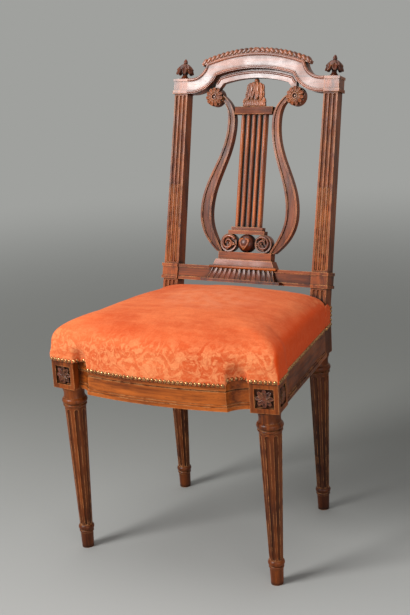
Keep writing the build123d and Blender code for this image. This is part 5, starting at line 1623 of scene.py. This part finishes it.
# Lamps: place, width and power in watts
LAMPS = {
    "key_light": ((-1.55, -2.4, 2.2), 1.3, 104.0),
    "fill_light": ((1.9, -1.9, 1.0), 1.8, 15.0),
    "top_light": ((-0.4, 0.2, 2.7), 2.2, 24.0),
}


def seen_ray(tree):
    """One for rays that show the background: the camera's own, mirrored and passed ones."""
    path = tree.add("ShaderNodeLightPath").outputs
    mirrored = tree.math("ADD", path["Is Glossy Ray"], path["Is Transmission Ray"])
    return tree.math("ADD", path["Is Camera Ray"], mirrored, clamp=True)


def studio_floor():
    """Pale floor with painted shade, darker to the back and to the left, that fades into the backdrop."""
    floor = primitive("studio_floor", bpy.ops.mesh.primitive_circle_add, vertices=64, radius=FLOOR_RADIUS,
                      fill_type="NGON")
    material, tree, shader, coordinates = new_material("studio_grey")
    place = tree.add("ShaderNodeSeparateXYZ", {0: coordinates}).outputs
    near = tree.mix(tree.fit(place[0], *FLOOR_ACROSS), FLOOR_LEFT, FLOOR_RIGHT)
    colour = tree.mix(tree.fit(place[1], *FLOOR_ALONG), near, FLOOR_BACK)
    tree.feed(shader.inputs["Base Color"], colour)
    shader.inputs["Roughness"].default_value = 0.9
    away = tree.add("ShaderNodeVectorMath", {0: coordinates}, operation="LENGTH").outputs["Value"]
    far = tree.math("MULTIPLY", seen_ray(tree), tree.fit(away, *HAZE_REACH))
    haze = tree.add("ShaderNodeEmission", {"Color": BACKDROP})
    faded = tree.add("ShaderNodeMixShader", {0: far, 1: shader.outputs[0], 2: haze.outputs[0]})
    tree.feed(tree.tree.nodes["Material Output"].inputs[0], faded.outputs[0])
    floor.data.materials.append(material)


def studio_world():
    """Even grey light from all round, and the backdrop where the camera sees past the floor."""
    world = bpy.data.worlds.new("studio_world")
    world.use_nodes = True
    sky = Tree(world.node_tree)
    light = world.node_tree.nodes["Background"]
    light.inputs[0].default_value = SKY
    light.inputs[1].default_value = SKY_STRENGTH
    backdrop = sky.add("ShaderNodeBackground", {0: BACKDROP})
    both = sky.add("ShaderNodeMixShader", {0: seen_ray(sky), 1: light.outputs[0], 2: backdrop.outputs[0]})
    sky.feed(world.node_tree.nodes["World Output"].inputs[0], both.outputs[0])
    bpy.context.scene.world = world


def studio_lamps():
    """Soft lamps: the key from the upper left, a fill from the right and one from above."""
    for name, (place, width, power) in LAMPS.items():
        lamp = bpy.data.lights.new(name, "AREA")
        lamp.shape = "DISK"
        lamp.size = width
        lamp.energy = power
        holder = bpy.data.objects.new(name, lamp)
        bpy.context.scene.collection.objects.link(holder)
        holder.location = place
        holder.rotation_euler = (LIGHT_AIM - Vector(place)).to_track_quat("-Z", "Y").to_euler()


CAMERA_PLACE = Vector((1.0270, FRONT_Y - 1.7085, 1.0278))
CAMERA_AZIMUTH, CAMERA_PITCH, CAMERA_ROLL = radians(28.77), radians(15.03), radians(-3.46)
FOCAL_PIXELS = 1167.11
IMAGE_HEIGHT = 615
SENSOR_HEIGHT = 36.0
VIEW_REACH = 100.0


def camera():
    """Camera at the photograph's viewpoint."""
    back = Vector((sin(CAMERA_AZIMUTH) * cos(CAMERA_PITCH), -cos(CAMERA_AZIMUTH) * cos(CAMERA_PITCH),
                   sin(CAMERA_PITCH)))
    level = Vector((cos(CAMERA_AZIMUTH), sin(CAMERA_AZIMUTH), 0))
    upright = back.cross(level)
    right = cos(CAMERA_ROLL) * level + sin(CAMERA_ROLL) * upright
    up = back.cross(right)
    lens = bpy.data.cameras.new("photo_camera")
    lens.sensor_fit = "VERTICAL"
    lens.sensor_height = SENSOR_HEIGHT
    lens.lens = FOCAL_PIXELS / IMAGE_HEIGHT * SENSOR_HEIGHT
    lens.clip_end = VIEW_REACH
    holder = bpy.data.objects.new("photo_camera", lens)
    bpy.context.scene.collection.objects.link(holder)
    turn = Matrix((right, up, back)).transposed()
    holder.matrix_world = Matrix.Translation(CAMERA_PLACE) @ turn.to_4x4()
    bpy.context.scene.camera = holder


studio_floor()
studio_world()
studio_lamps()
camera()
bpy.context.scene.view_settings.view_transform = "Standard"
